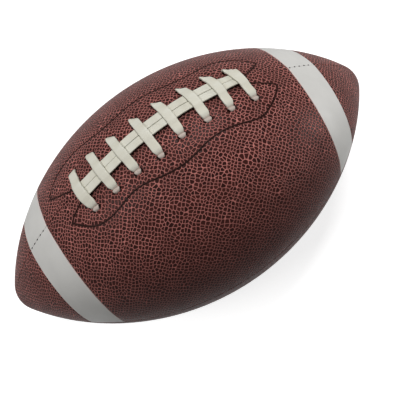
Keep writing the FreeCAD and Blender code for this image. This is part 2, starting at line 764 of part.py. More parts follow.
# ------------------------------------------------------- bladder and valve ---
def bladder_form(name, inset):
    """The bladder's outer form, or with an inset the form of its air space."""
    groove = f"({RAIL} + thread_radius + layer_gap + ({inset}))"
    tip_box = f"(bladder_lobe - ({inset}))"
    far_x = LEVEL_ENDS[1]
    seams = f"flange_depth + layer_gap + ({inset})"
    facing_reach = f"(outline_tip_at + facing_margin + pocket_room + ({inset}))"
    facing_side = f"(outline_lobe + facing_margin + pocket_room + ({inset}))"
    tongue_reach = f"(tongue_length / 2 + pocket_room + ({inset}))"
    tongue_side = f"(tongue_width / 2 + pocket_room + ({inset}))"
    pockets = (
        ("seam_top_and_bottom", seams,
         (LEVEL_ENDS[0], f"-{groove}", f"-({FAR})"), (far_x, groove, FAR)),
        ("seam_front_and_rear", seams,
         (LEVEL_ENDS[0], f"-({FAR})", f"-{groove}"), (far_x, FAR, groove)),
        ("tip_left", seams,
         (LEVEL_ENDS[0], f"-({FAR})", f"-({FAR})"), (f"-{tip_box}", FAR, FAR)),
        ("tip_right", seams, (tip_box, f"-({FAR})", f"-({FAR})"), (far_x, FAR, FAR)),
        ("facings", f"{FACING_BACK} + pocket_room + ({inset})",
         (f"-{facing_reach}", f"-{facing_side}", "0"), (facing_reach, facing_side, FAR)),
        ("tongue", f"{TONGUE_BACK} + pocket_room + ({inset})",
         (f"-{tongue_reach}", f"lace_shift - {tongue_side}", "0"),
         (tongue_reach, f"lace_shift + {tongue_side}", FAR)))
    tools = [outside(f"{name}_{pocket}", box(f"{name}_{pocket}_box", low, high), depth)
             for pocket, depth, low, high in pockets]
    return cut(name, spindle(f"{BLADDER} + ({inset})"), *tools)


keep("bladder", cut("bladder_piece", bladder_form("bladder_outside", "0"),
                    bladder_form("bladder_inside", "bladder_wall"), valve_hole))

PATCH = f"{BLADDER_BACK} + patch_play"
VALVE_FLANGE = f"{PATCH} + patch_wall + patch_play"
keep("valve_patch", cut("valve_patch_piece", shell(
    "valve_patch_layer", PATCH, f"{PATCH} + patch_wall",
    valve_rod("valve_patch_rod", "patch_radius")), valve_hole))

VALVE_TOP = "(ball_radius - valve_sink)"
VALVE_FOOT = f"({VALVE_TOP} - valve_length)"
CORE_FOOT = f"({VALVE_FOOT} + valve_lip)"
CORE_SEAT = f"({VALVE_TOP} - core_head_wall)"


def turned_piece(name, *spots):
    """A piece turned on the valve's axis from a half section of radius and height."""
    outline = Outline(f"{name}_outline", SIDE)
    outline.lines(*spots)
    item = add("Part::Revolution", name, Source=outline.sketch, Axis=Vector(0, 0, 1),
               Angle=360, Solid=True)
    return turned(item, VALVE_ANGLE)


bore = "core_radius + core_play"
head_bore = "core_head_radius + core_play"
lip_bore = "core_radius - valve_lip / 2"
valve_tube = turned_piece(
    "valve_tube", (lip_bore, VALVE_FOOT), ("valve_radius", VALVE_FOOT),
    ("valve_radius", VALVE_TOP), (head_bore, VALVE_TOP), (head_bore, CORE_SEAT),
    (bore, CORE_SEAT), (bore, CORE_FOOT), (lip_bore, CORE_FOOT))
valve_flange = cut("valve_flange", shell(
    "valve_flange_layer", VALVE_FLANGE, f"{VALVE_FLANGE} + valve_flange_wall",
    valve_rod("valve_flange_rod", "valve_flange_radius")),
    valve_rod("valve_flange_hole", "(valve_radius + core_head_radius) / 2"))
keep("valve_housing", fuse("valve_housing_piece", valve_tube, valve_flange))
keep("valve_core", turned_piece(
    "valve_core_piece", ("needle_radius", CORE_FOOT), ("core_radius", CORE_FOOT),
    ("core_radius", CORE_SEAT), ("core_head_radius", CORE_SEAT),
    ("core_head_radius", VALVE_TOP), ("needle_radius + needle_lead", VALVE_TOP),
    ("needle_radius", f"{VALVE_TOP} - needle_lead")))

# ------------------------------------------------------- check, then write ---
doc.recompute()
for item in doc.Objects:
    if {"Invalid", "Error"} & set(item.State):
        raise RuntimeError(f"{item.Name} could not be built: {item.State}")
for node, item in parts.items():
    if item.Shape.isNull() or not item.Shape.isValid():
        raise RuntimeError(f"{node} is not a sound shape")
    if not item.Shape.Solids:
        raise RuntimeError(f"{node} holds no solid")

os.makedirs("parts", exist_ok=True)
for node, item in parts.items():
    item.Shape.exportStep(f"parts/{node}.step")
    print(f"{node}: {len(item.Shape.Solids)} solid(s), {item.Shape.Volume:.0f} mm3")
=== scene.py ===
"""Dresses a laced american football: pebbled panels, white stripes, lace and stitching.

Lengths in the helpers are millimetres along the ball's own surface and turn into
metres as a mesh is made.  Along runs tip to tip (X), across runs round the belly
from the laced seam towards +Y.
"""
import math
from collections import namedtuple

import bpy
import numpy as np
from bpy.props import FloatProperty, FloatVectorProperty, IntProperty, PointerProperty
from bpy.types import Operator, Panel, PropertyGroup
from mathutils import Matrix, Vector


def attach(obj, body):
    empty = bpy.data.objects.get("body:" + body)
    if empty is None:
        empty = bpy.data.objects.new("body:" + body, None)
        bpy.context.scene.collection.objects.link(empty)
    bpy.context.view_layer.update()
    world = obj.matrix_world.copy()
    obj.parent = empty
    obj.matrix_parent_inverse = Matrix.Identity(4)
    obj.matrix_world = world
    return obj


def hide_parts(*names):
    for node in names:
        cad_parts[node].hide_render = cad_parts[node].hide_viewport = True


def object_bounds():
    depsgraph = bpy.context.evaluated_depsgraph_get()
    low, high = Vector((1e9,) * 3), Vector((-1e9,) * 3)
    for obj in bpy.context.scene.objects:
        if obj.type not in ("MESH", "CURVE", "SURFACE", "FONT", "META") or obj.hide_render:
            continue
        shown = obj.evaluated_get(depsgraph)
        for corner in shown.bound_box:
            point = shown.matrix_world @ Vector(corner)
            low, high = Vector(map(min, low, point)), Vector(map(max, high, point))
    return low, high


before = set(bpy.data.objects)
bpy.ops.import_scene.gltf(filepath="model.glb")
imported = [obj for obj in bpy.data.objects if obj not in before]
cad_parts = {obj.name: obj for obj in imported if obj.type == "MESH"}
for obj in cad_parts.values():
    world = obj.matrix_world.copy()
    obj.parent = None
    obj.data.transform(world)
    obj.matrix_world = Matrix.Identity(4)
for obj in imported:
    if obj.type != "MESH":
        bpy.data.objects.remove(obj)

bl_info = {
    "name": "Laced football",
    "version": (1, 0, 0),
    "blender": (4, 5, 0),
    "location": "View3D > Sidebar > Football",
    "description": "Builds the finish of a laced american football round its packed frame",
    "category": "Object",
}

CAD_BOX = [list(corner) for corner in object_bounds()]
MM = 0.001
BODY = "root"
SURFACE_MAP = "surface_mm"  # the map that holds millimetres along and across
BAKE_MAP = "OFBake"
VALVE_HOLE = 4.0  # radius of the valve's hole in the rear bottom panel
VALVE_ANGLE = 135.0  # from the laced seam to the valve, the middle of that panel
# Each panel: the angle from the laced seam, towards +Y, where it starts.
PANELS = {"front_top": -90.0, "rear_top": 0.0, "rear_bottom": 90.0, "front_bottom": 180.0}
ENDS = {"left": -1, "right": 1}  # the ball's two ends, by the sign of X


# ------------------------------------------------------------- user's sizes --
def size(name, description, default):
    """A length that the user sees in scene units, its default given in millimetres."""
    return FloatProperty(name=name, description=description, default=default * MM,
                         min=0.0, unit="LENGTH", precision=5)


def colour(name, description, default):
    return FloatVectorProperty(name=name, description=description, default=default,
                               size=3, min=0.0, max=1.0, subtype="COLOR")


class FootballSizes(PropertyGroup):
    """Lengths that a user would change."""
    half_length: size("Half length", "Centre of the ball to a tip", CAD_BOX[1][0] / MM)
    ball_radius: size("Ball radius", "Largest radius, at mid length", 80.0)
    tip_radius: size("Tip radius", "Roundness of a tip", 19.0)
    cover_wall: size("Cover wall", "Thickness of a cover panel", 1.5)
    flange_depth: size("Flange depth", "How far a seam edge turns in", 7.0)
    flange_wall: size("Flange wall", "Thickness of a turned-in edge", 1.2)
    seam_roll: size("Seam roll", "Roundness of a panel's edge at a seam", 0.6)
    pebble: size("Pebble", "Width of one pebble of the grain", 2.15)
    pebble_rise: size("Pebble rise", "Height of a pebble", 0.12)
    stripe_inner: size("Stripe inner edge", "Centre to a stripe's inner edge, along X", 87.0)
    stripe_width: size("Stripe width", "Width of a stripe along X", 19.8)
    stripe_wall: size("Stripe wall", "Thickness of a stripe", 0.75)
    stripe_play: size("Stripe play", "Room under and beside a stripe", 0.15)
    lace_width: size("Lace width", "Width of the flat lace", 5.7)
    lace_wall: size("Lace wall", "Thickness of the flat lace", 1.3)
    lace_pitch: size("Lace pitch", "One cross of the lace to the next", 15.6)
    strand_width: size("Strand width", "Width of the lace where it lies in two strands", 5.15)
    seam_start: size("Seam stitching", "Centre to where the seam's stitches show", 95.0)
    stitch_pitch: size("Stitch pitch", "One seam stitch to the next", 4.15)
    outline_stitch: size("Outline stitch", "Length of a stitch of the outline", 3.0)
    outline_thread: size("Outline thread", "Width of the outline's thread", 0.5)
    columns: IntProperty(name="Columns", description="Steps of a panel's mesh, tip to tip",
                         default=470, min=60)
    rows: IntProperty(name="Rows", description="Steps of a panel's mesh, seam to seam",
                      default=180, min=24)


class FootballColours(PropertyGroup):
    """Colours that a user would change."""
    pebble: colour("Pebble", "Tops of the leather's pebbles", (0.032, 0.0085, 0.0068))
    furrow: colour("Furrow", "Lines between the pebbles", (0.52, 0.19, 0.165))
    stripe: colour("Stripe", "White stripes", (0.62, 0.61, 0.585))
    stripe_rim: colour("Stripe rim", "Edges of the stripes", (0.66, 0.56, 0.53))
    lace: colour("Lace", "Coated lace", (0.65, 0.64, 0.56))
    # Painted shade: the lace is darkened to this pinkish grey where it dives into its holes,
    # for the shade that falls there.
    tucked: colour("Tucked lace", "Lace where it rubs in its holes", (0.42, 0.33, 0.30))
    thread: colour("Thread", "Seam thread", (0.02, 0.016, 0.015))
    outline: colour("Outline thread", "Thread of the outline", (0.022, 0.012, 0.010))
    cloth: colour("Lining cloth", "Fabric of the linings", (0.60, 0.56, 0.48))
    facing: colour("Facing", "Leather behind the lace holes", (0.22, 0.12, 0.08))
    rubber: colour("Rubber", "Bladder, patch and valve", (0.02, 0.02, 0.02))


def sizes():
    return bpy.context.scene.football_sizes


def colours():
    return bpy.context.scene.football_colours


def mm(name):
    """A size in millimetres."""
    return getattr(sizes(), name) / MM


# ---------------------------------------------------------- the ball's form --
class Ball:
    """Two arcs make the outline: one long arc from tip to tip and a small one at each tip."""

    def __init__(self):
        self.half = mm("half_length")
        self.radius = mm("ball_radius")
        self.tip = mm("tip_radius")
        lift = self.radius - self.tip
        run = self.half - self.tip
        self.bend = (run ** 2 + self.radius ** 2 - self.tip ** 2) / (2 * lift)
        self.drop = self.bend - self.radius
        self.join = math.atan2(run, self.drop)
        self.reach = self.bend * self.join + self.tip * (math.pi / 2 - self.join)

    def outline(self, along):
        """X, radius and slope angle at distances along the surface from mid length."""
        along = np.asarray(along, float)
        way = np.abs(along)
        lean = way / self.bend
        past = self.join + (way - self.bend * self.join) / self.tip
        long_part = lean <= self.join
        slope = np.where(long_part, lean, past)
        x = np.where(long_part, self.bend * np.sin(lean),
                     self.half - self.tip + self.tip * np.sin(past))
        radius = np.where(long_part, self.bend * np.cos(lean) - self.drop,
                          self.tip * np.cos(past))
        side = np.sign(along)
        return x * side, radius, slope * side

    def radius_at(self, along):
        return self.outline(along)[1]

    def along_at(self, x):
        """Distance along the surface of a place on the long arc, from its X."""
        return self.bend * math.asin(x / self.bend)

    def point(self, along, angle, height):
        """Places at an angle from the laced seam, a height above the surface."""
        x, radius, slope = self.outline(along)
        out = radius + height * np.cos(slope)
        return np.stack(np.broadcast_arrays(
            x + height * np.sin(slope), out * np.sin(angle), out * np.cos(angle)), -1)

    def over(self, along, across, height):
        """Places at a distance across the surface from the laced seam."""
        return self.point(along, across / self.radius_at(along), height)


def blend_step(low, high, value):
    """0 below low, 1 above high and smooth between."""
    share = np.clip((value - low) / (high - low), 0, 1)
    return share * share * (3 - 2 * share)


def bell(value, width):
    return np.exp(-(value / width) ** 2)


def smooth_path(knots, step):
    """Even samples, a step apart, of a Catmull-Rom curve through rows of numbers."""
    knots = np.asarray(knots, float)
    ends = np.vstack([2 * knots[0] - knots[1], knots, 2 * knots[-1] - knots[-2]])
    share = np.linspace(0, 1, 24, endpoint=False)[:, None]
    runs = []
    for a, b, c, d in zip(ends, ends[1:], ends[2:], ends[3:]):
        runs.append(0.5 * (2 * b + (c - a) * share + (2 * a - 5 * b + 4 * c - d) * share ** 2
                           + (3 * b - a - 3 * c + d) * share ** 3))
    fine = np.vstack(runs + [knots[-1:]])
    length = np.r_[0, np.cumsum(np.linalg.norm(np.diff(fine, axis=0), axis=1))]
    places = np.linspace(0, length[-1], max(3, round(length[-1] / step) + 1))
    return np.stack([np.interp(places, length, column) for column in fine.T], -1)


# ------------------------------------------------------------ mesh helpers --
def new_object(name, data):
    """An object of the scene."""
    item = bpy.data.objects.new(name, data)
    bpy.context.scene.collection.objects.link(item)
    return item


def mesh_piece(name, points, faces, maps, marks, material):
    """An object from millimetre points, with UV maps by corner and values by point."""
    mesh = bpy.data.meshes.new(name)
    mesh.from_pydata((np.asarray(points) * MM).tolist(), [], faces)
    for map_name, values in maps:
        layer = mesh.uv_layers.new(name=map_name)
        layer.data.foreach_set("uv", np.asarray(values, np.float32).ravel())
    for mark_name, values in marks:
        layer = mesh.attributes.new(mark_name, "FLOAT", "POINT")
        layer.data.foreach_set("value", np.asarray(values, np.float32).ravel())
    mesh.shade_smooth()
    mesh.validate()
    mesh.materials.append(material)
    return new_object(name, mesh)


def tube_faces(rings, sides, closed_ends=True):
    """Faces of a closed tube of rings, and its corners' steps along and round."""
    faces, steps = [], []
    for ring in range(rings - 1):
        for side in range(sides):
            after = (side + 1) % sides
            low, high = ring * sides, (ring + 1) * sides
            faces.append((low + side, low + after, high + after, high + side))
            steps.append(((ring, side), (ring, side + 1),
                          (ring + 1, side + 1), (ring + 1, side)))
    if closed_ends:
        faces.append(tuple(range(sides))[::-1])
        steps.append(tuple((0, side) for side in range(sides))[::-1])
        last = (rings - 1) * sides
        faces.append(tuple(last + side for side in range(sides)))
        steps.append(tuple((rings - 1, side) for side in range(sides)))
    return faces, steps


class Collector:
    """Gathers tubes and straps that make one piece."""

    def __init__(self):
        self.points, self.faces, self.places, self.tucked = [], [], [], []
        self.count = 0

    def tube(self, path, across, half_width, half_wall, sides, square,
             roll=0.0, narrow=1.0, tucked=0.0):
        """A strap along a path, flat along the across directions, with rounded edges:
        its section is a superellipse, squarer as square falls below 1.  Roll, narrow and
        the painted shade where the lace dives into a hole are each one number or one for each
        place of the path."""
        roll, narrow, tucked = (np.broadcast_to(value, len(path))
                                for value in (roll, narrow, tucked))
        ahead = np.gradient(path, axis=0)
        ahead /= np.linalg.norm(ahead, axis=1)[:, None]
        wide = across - (across * ahead).sum(1)[:, None] * ahead
        wide /= np.linalg.norm(wide, axis=1)[:, None]
        out = np.cross(ahead, wide)
        turn = roll[:, None]
        wide, out = (wide * np.cos(turn) + out * np.sin(turn),
                     out * np.cos(turn) - wide * np.sin(turn))
        angle = (np.arange(sides) + 0.5) * 2 * np.pi / sides
        cos, sin = np.cos(angle), np.sin(angle)
        y = np.sign(cos) * np.abs(cos) ** square * half_width
        z = np.sign(sin) * np.abs(sin) ** square * half_wall
        rings = (path[:, None] + wide[:, None] * y[None, :, None] * narrow[:, None, None]
                 + out[:, None] * z[None, :, None])
        faces, steps = tube_faces(len(path), sides)
        length = np.r_[0, np.cumsum(np.linalg.norm(np.diff(path, axis=0), axis=1))]
        girth = 2 * (half_width + half_wall) * 2 / sides
        places = [[(length[ring], side * girth) for ring, side in face] for face in steps]
        self.points.append(rings.reshape(-1, 3))
        self.faces += [tuple(corner + self.count for corner in face) for face in faces]
        self.places += places
        self.tucked.append(np.repeat(tucked, sides))
        self.count += len(path) * sides

    def piece(self, name, material):
        """One object, its surface map in millimetres."""
        corners = np.array([place for face in self.places for place in face], float)
        return mesh_piece(name, np.vstack(self.points), self.faces,
                          maps=((SURFACE_MAP, corners),),
                          marks=(("tucked", np.concatenate(self.tucked)),), material=material)


def dress(piece, replaced):
    """Put a piece on the body it rides on, and hide the imported node that it stands for."""
    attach(piece, BODY)
    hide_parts(replaced)


# ---------------------------------------------------------- where things lie --
# One row for each cross of the lace, in mm: how far it lies off its even place along the
# seam, how far its front end lies ahead of its rear end, how far its middle bows and its
# rear end hooks back; then, across the seam, its front hole and where its right and its
# left edge go under at the rear; then how much wider it lies, and at which share of its
# way from front to rear.
Cross = namedtuple("Cross", "drift lean bow hook front right left wider widest")
CROSSES = tuple(Cross(*row) for row in (
    (-0.5, 2.2, -1.2, 0.0, -17.1, 13.0, 13.0, 0.20, 0.38),
    (-0.4, 3.1, 0.0, 0.0, -17.1, 13.0, 14.8, 0.02, 0.5),
    (-0.3, 3.5, 0.0, 0.0, -16.8, 11.6, 15.0, 0.02, 0.5),
    (0.6, 2.1, 0.0, 0.2, -17.1, 12.4, 16.2, 0.02, 0.5),
    (1.0, 2.0, 0.5, 0.5, -13.9, 13.2, 17.2, 0.03, 0.5),
    (2.4, 2.4, 0.6, 0.5, -13.3, 13.4, 17.2, 0.03, 0.5),
    (2.6, 1.6, 0.8, 0.5, -13.9, 13.4, 17.0, 0.03, 0.5),
    (2.5, 3.0, 0.3, 0.6, -13.9, 10.2, 15.4, 0.26, 0.85)))
HOLE_HALF = 1.9  # half the length of a lace hole's straight part
HOLE_RIM = (0.8, 1.6)  # from that part's line, where a hole's side starts and ends
STRAND_ENDS = (-57.6, 60.6)
# Middle of the two long strands, which lie askew: along and across.
STRAND_LINE = ((-62.0, -3.4), (-50.0, -3.1), (-33.0, -1.9), (-15.0, 0.3), (2.0, 1.3),
               (17.0, 2.5), (35.0, 2.8), (50.0, 3.0), (64.0, 2.9))
STRIPE_MIDDLE = 103.0  # along, where the sewn panels bend a stripe most
STRIPE_SWAY = (13.0, 34.0)  # from there, where the bend starts to fade and is gone
SEAM_STITCHES = 5  # stitches that show at each end of the laced seam
# The stitched outline round the lacing, along and across: each long line and its two
# short lines back to the seam.
FRONT_OUTLINE = (
    ((-72.4, -12.6), (-69.7, -15.9), (-65.9, -19.8), (-61.4, -23.5), (-57.0, -25.7),
     (-49.2, -26.8), (-42.0, -26.2), (-34.0, -24.6), (-27.0, -24.1), (-19.0, -25.4),
     (-10.0, -27.5), (-2.0, -28.3), (5.0, -28.0), (12.0, -26.5), (20.0, -24.4),
     (30.0, -23.4), (39.0, -24.1), (49.0, -25.8), (55.5, -25.6), (61.0, -23.4),
     (67.0, -19.6), (72.0, -15.6), (75.6, -12.2), (76.4, -10.2)),
    ((-72.4, -12.6), (-69.5, -10.9), (-66.0, -9.4), (-61.5, -7.9), (-58.0, -7.2)),
    ((76.4, -10.2), (73.9, -8.2), (69.0, -5.9), (64.0, -3.8), (61.0, -2.4)))
REAR_OUTLINE = (
    ((-79.0, 11.4), (-77.6, 15.2), (-73.0, 19.4), (-66.0, 23.2), (-58.0, 25.7),
     (-50.0, 26.8), (-43.0, 26.4), (-35.0, 25.1), (-28.0, 24.6), (-20.0, 25.4),
     (-10.0, 27.3), (0.0, 28.2), (10.0, 27.1), (20.0, 25.0), (30.0, 24.1), (40.0, 24.8),
     (50.0, 26.0), (58.0, 24.8), (66.0, 20.6), (73.0, 14.8), (76.2, 11.0)),
    ((-79.0, 11.4), (-74.5, 8.9), (-70.0, 6.6), (-65.0, 4.1), (-61.0, 2.6)),
    ((76.2, 11.0), (72.0, 8.0), (67.0, 5.6), (62.0, 3.4)))


def cross_line(number):
    """Along the seam, the middle of a cross at its front hole and at its rear end."""
    cross = CROSSES[number]
    middle = (number - (len(CROSSES) - 1) / 2) * mm("lace_pitch") + cross.drift
    return middle + cross.lean / 2, middle - cross.lean / 2


def strand_middle(along):
    """Across the seam, the middle of the two long strands."""
    places, across = zip(*STRAND_LINE)
    return np.interp(along, places, across)


def stripe_edges():
    """X of a stripe's inner and outer edge."""
    return mm("stripe_inner"), mm("stripe_inner") + mm("stripe_width")


def stripe_sway(along, across):
    """How far a stripe's spot lies towards +X of its even place: sewn panels bend it,
    the left stripes most away from the laced seam and the right stripes most at it."""
    near_seam = np.exp(-np.abs(across) / 22)
    amount = np.where(along < 0, 1.9 - 1.3 * near_seam, 0.1 + 2.1 * near_seam)
    return amount * (1 - blend_step(*STRIPE_SWAY, np.abs(np.abs(along) - STRIPE_MIDDLE)))


def outline_lines(spot, step):
    """The outline on one top panel, as places along and across, a step apart."""
    lines = FRONT_OUTLINE if spot == "front_top" else REAR_OUTLINE
    return [smooth_path(line, step) for line in lines]


def distance_to(points, lines, reach=(84, 34), batch=4000):
    """Distance over the surface from each point to the nearest of the lines' points,
    for the points within reach of the lines along and across, a batch at a time."""
    nearest = np.full(len(points), 1e3)
    near = np.flatnonzero((np.abs(points) < reach).all(1))
    spots = np.vstack(lines)
    for start in range(0, len(near), batch):
        group = near[start:start + batch]
        gap = points[group, None] - spots[None]
        nearest[group] = np.sqrt((gap ** 2).sum(-1).min(1))
    return nearest


# ------------------------------------------------------------- cover panels --
TIP_GAP = 0.8  # along the surface, from a tip to a panel's last section
BED_STEP = 0.14  # along the surface, the run of the step down to a stripe
# Depths of what sewing and lacing leave in a top panel: the sunk line of the outline, a
# hole, the leather drawn in round it, and the groove that the strands press.
OUTLINE_DEPTH, HOLE_DEPTH, DRAWN_DEPTH, GROOVE_DEPTH = 0.35, 1.3, 0.5, 0.9
DRAWN_WIDTH, GROOVE_WIDTH = 3.0, 6.8
GROOVE_OFF = -1.1  # across, from the strands' middle to the groove's
LACED = ((-61.0, -57.0), (60.0, 64.0))  # along, where the groove starts and ends
# The valve's well, and the cover's dip and its width round the well.
WELL_DEPTH, DIP_DEPTH, DIP_WIDTH = 1.2, 0.3, 1.6


def panel_columns(ball):
    """Distances along the surface of a panel's columns, close together at stripe edges."""
    last = ball.reach - TIP_GAP
    columns = np.linspace(-last, last, sizes().columns)
    for x in stripe_edges():
        for side in (-1, 1):
            edge = side * ball.along_at(x)
            after = int(np.searchsorted(columns, edge))
            columns[after - 1], columns[after] = edge - BED_STEP / 2, edge + BED_STEP / 2
    return columns


def panel_ring(ball, columns):
    """A panel's closed section at each column: angle from its first seam, depth, outer."""
    radius = ball.radius_at(columns)[:, None]
    # Towards a tip, each length is held to a share of the radius.
    roll = np.minimum(mm("seam_roll"), radius * 0.2)
    flange = np.minimum(mm("flange_depth"), radius * 0.7)
    wall = np.minimum(mm("flange_wall"), radius * 0.2)
    cover = np.minimum(mm("cover_wall"), radius * 0.4)
    bends = np.linspace(0, np.pi / 2, 5)[None, :-1]
    start_angle = roll * (1 - np.cos(bends)) / radius
    roll_depth = roll * (1 - np.sin(bends))
    share = np.linspace(0, 1, sizes().rows)[None]
    first = roll / radius
    middle = first + (np.pi / 2 - 2 * first) * share
    outer_angle = np.hstack([start_angle, middle, np.pi / 2 - start_angle[:, ::-1]])
    outer_depth = np.hstack([roll_depth, middle * 0, roll_depth[:, ::-1]])

    def edge(distance, depth):
        return distance / (radius - depth)
    inner_share = np.linspace(0, 1, 9)[None]
    low, high = edge(wall, cover), np.pi / 2 - edge(wall, cover)
    inner_angle = np.hstack([
        np.pi / 2 - edge(0 * wall, flange), np.pi / 2 - edge(wall, flange),
        high - (high - low) * inner_share, edge(wall, flange), edge(0 * wall, flange)])
    inner_depth = np.hstack([flange, flange, cover + 0 * inner_share, flange, flange])
    outer = np.r_[np.ones(outer_angle.shape[1]), np.zeros(inner_angle.shape[1])]
    return (np.hstack([outer_angle, inner_angle]), np.hstack([outer_depth, inner_depth]),
            outer.astype(bool))


def hole_marks(along, across):
    """Depth of the lace holes and of the leather pulled in round them."""
    pit, pull = np.zeros_like(along), np.zeros_like(along)
    for number, cross in enumerate(CROSSES):
        holes = cross.front, (cross.left + cross.right) / 2
        for hole_along, hole in zip(cross_line(number), holes):
            off = np.hypot(np.maximum(np.abs(along - hole_along) - HOLE_HALF, 0),
                           across - hole)
            pit = np.maximum(pit, 1 - blend_step(*HOLE_RIM, off))
            pull = np.maximum(pull, bell(off, DRAWN_WIDTH))
    return pit, pull


def panel_relief(ball, spot, nominal, along, angle):
    """Depths and marks of a panel's outer surface, beyond its plain round form: the bareness
    of its grain and its painted shade.
    """
    radius = ball.radius_at(along)
    across = angle * radius
    depth = np.zeros_like(along)
    bare = np.zeros_like(along)
    dark = np.zeros_like(along)
    if spot.endswith("top"):
        x, (low, high) = np.abs(ball.outline(nominal)[0]), stripe_edges()
        bed = ((x > low) & (x < high)).astype(float)
        depth += bed * (mm("stripe_wall") + mm("stripe_play"))
        off = distance_to(np.stack([along, across], -1), outline_lines(spot, 0.5))
        pit, pull = hole_marks(along, across)
        beside = across - strand_middle(along)
        laced = blend_step(*LACED[0], along) * (1 - blend_step(*LACED[1], along))
        groove = bell(beside - GROOVE_OFF, GROOVE_WIDTH) * laced
        depth += (OUTLINE_DEPTH * bell(off, 0.8) + HOLE_DEPTH * pit
                  + DRAWN_DEPTH * pull * (1 - pit) + GROOVE_DEPTH * groove * (1 - pit))
        bare = np.clip(bed + bell(off, 0.5) + pit, 0, 1)
        # Painted shade in recesses: the outline's sunk line, the holes and the strands' groove
        # are darkened towards near-black, for the shade that falls in them.
        mark = 0.85 if spot == "front_top" else 0.5  # how strongly the outline's sunk line is darkened with painted shade
        dark = np.clip(mark * bell(off, 0.45) + 0.9 * pit + 1.1 * groove - 0.1, 0, 1)
    if spot == "rear_bottom":
        off = np.hypot(along, (angle - math.radians(VALVE_ANGLE)) * radius)
        pit = 1 - blend_step(VALVE_HOLE, VALVE_HOLE + 0.35, off)
        past = np.maximum(off - VALVE_HOLE, 0)
        depth += WELL_DEPTH * pit + DIP_DEPTH * bell(past, DIP_WIDTH) * (1 - pit)
        bare = np.clip(pit + bell(past, 0.8), 0, 1)
        # Painted shade in the valve's well.
        dark = pit
    return depth, bare, dark


def lay_out(columns, turn, spot, ball):
    """Distance along and angle from the laced seam of every place of a piece's sections."""
    angle = math.radians(PANELS[spot]) + turn
    nominal = np.repeat(columns[:, None], turn.shape[1], 1)
    if not spot.endswith("top"):
        return nominal, nominal, angle
    sway = stripe_sway(nominal, angle * ball.radius_at(nominal))
    return nominal, nominal + sway, angle


def surface_places(ball, along, angle, steps):
    """The ring and the side of each corner of the faces, and its place on the surface."""
    corners = np.array([step for face in steps for step in face])
    ring, side = corners[:, 0], corners[:, 1] % along.shape[1]
    across = angle[ring, side] * ball.radius_at(along[ring, side])
    return corners, np.stack([along[ring, side], across], -1)


def build_panel(ball, spot, material):
    """One cover panel with turned-in edges: stacked closed sections from tip to tip."""
    columns = panel_columns(ball)
    turn, depth, outer = panel_ring(ball, columns)
    count, sides = turn.shape
    nominal, along, angle = lay_out(columns, turn, spot, ball)
    extra, bare, dark = panel_relief(
        ball, spot, *(grid[:, outer].ravel() for grid in (nominal, along, angle)))
    depth[:, outer] += extra.reshape(count, -1)
    points = ball.point(along, angle, -depth).reshape(-1, 3)
    marks = []
    for mark, values, inside in (("bare", bare, 1.0), ("dark", dark, 0.0)):
        whole = np.full((count, sides), inside)
        whole[:, outer] = values.reshape(count, -1)
        marks.append((mark, np.r_[whole.ravel(), inside, inside]))
    faces, steps = tube_faces(count, sides, closed_ends=False)
    tips = []
    for ring in (0, count - 1):
        tips.append(points[ring * sides:(ring + 1) * sides].mean(0))
        centre = count * sides + len(tips) - 1
        for side in range(sides):
            pair = (ring * sides + side, ring * sides + (side + 1) % sides)
            faces.append((pair[1], pair[0], centre) if ring == 0 else (*pair, centre))
            near, far = (ring, side), (ring, side + 1)
            steps.append((far, near, near) if ring == 0 else (near, far, near))
    corners, surface = surface_places(ball, along, angle, steps)
    # The map for baking: the panel's sections by their length round the middle one.
    middle = turn[count // 2] * mm("ball_radius")
    fall = depth[count // 2]
    lengths = np.hypot(np.diff(np.r_[middle, middle[0]]), np.diff(np.r_[fall, fall[0]]))
    way = np.r_[0, np.cumsum(lengths)] / lengths.sum()
    bake = np.stack([corners[:, 0] / (count - 1), way[corners[:, 1]]], -1) * 0.99 + 0.005
    return mesh_piece(f"cover_panel_{spot}", np.vstack([points, tips]), faces,
                      maps=((SURFACE_MAP, surface), (BAKE_MAP, bake)),
                      marks=marks, material=material)


# The grain, in widths of a pebble: its rows' angle in degrees, the pace and the reach of
# their wander, how unevenly the pebbles lie, and from a pebble's middle to its corners.
GRAIN_ANGLE, WANDER_PACE, WANDER_REACH, UNEVEN, CORNER = 45.0, 0.2, 1.2, 0.62, 0.74


def pebble_nodes(tree, vector):
    """Pebbles of the grain, the same in a shader and in a geometry tree: the distance
    from a pebble's edge, with its corners rounded off, and a random colour for each."""
    scaled = node(tree, "ShaderNodeVectorMath", {0: vector, "Scale": 1 / mm("pebble")},
                  operation="SCALE").outputs[0]
    turned = node(tree, "ShaderNodeVectorRotate",
                  {"Vector": scaled, "Angle": math.radians(GRAIN_ANGLE)},
                  rotation_type="Z_AXIS")
    wander = node(tree, "ShaderNodeTexNoise",
                  {"Vector": scaled, "Scale": WANDER_PACE, "Detail": 0.0},
                  noise_dimensions="2D")
    sway = node(tree, "ShaderNodeVectorMath",
                {0: wander.outputs["Color"], 1: (WANDER_REACH, WANDER_REACH, 0.0),
                 2: turned.outputs[0]}, operation="MULTIPLY_ADD")
    edges, middles = [
        node(tree, "ShaderNodeTexVoronoi",
             {"Vector": sway.outputs[0], "Scale": 1.0, "Randomness": UNEVEN},
             voronoi_dimensions="2D", feature=feature)
        for feature in ("DISTANCE_TO_EDGE", "F1")]
    corner = combine(tree, "SUBTRACT", CORNER, middles.outputs["Distance"])
    return (combine(tree, "MINIMUM", edges.outputs["Distance"], corner),
            middles.outputs["Color"])


def grain_share(tree, bare):
    """1 on plain leather and 0 where the panel is bare of grain."""
    return map_range(tree, bare, (0.0, 0.6), (1.0, 0.0))


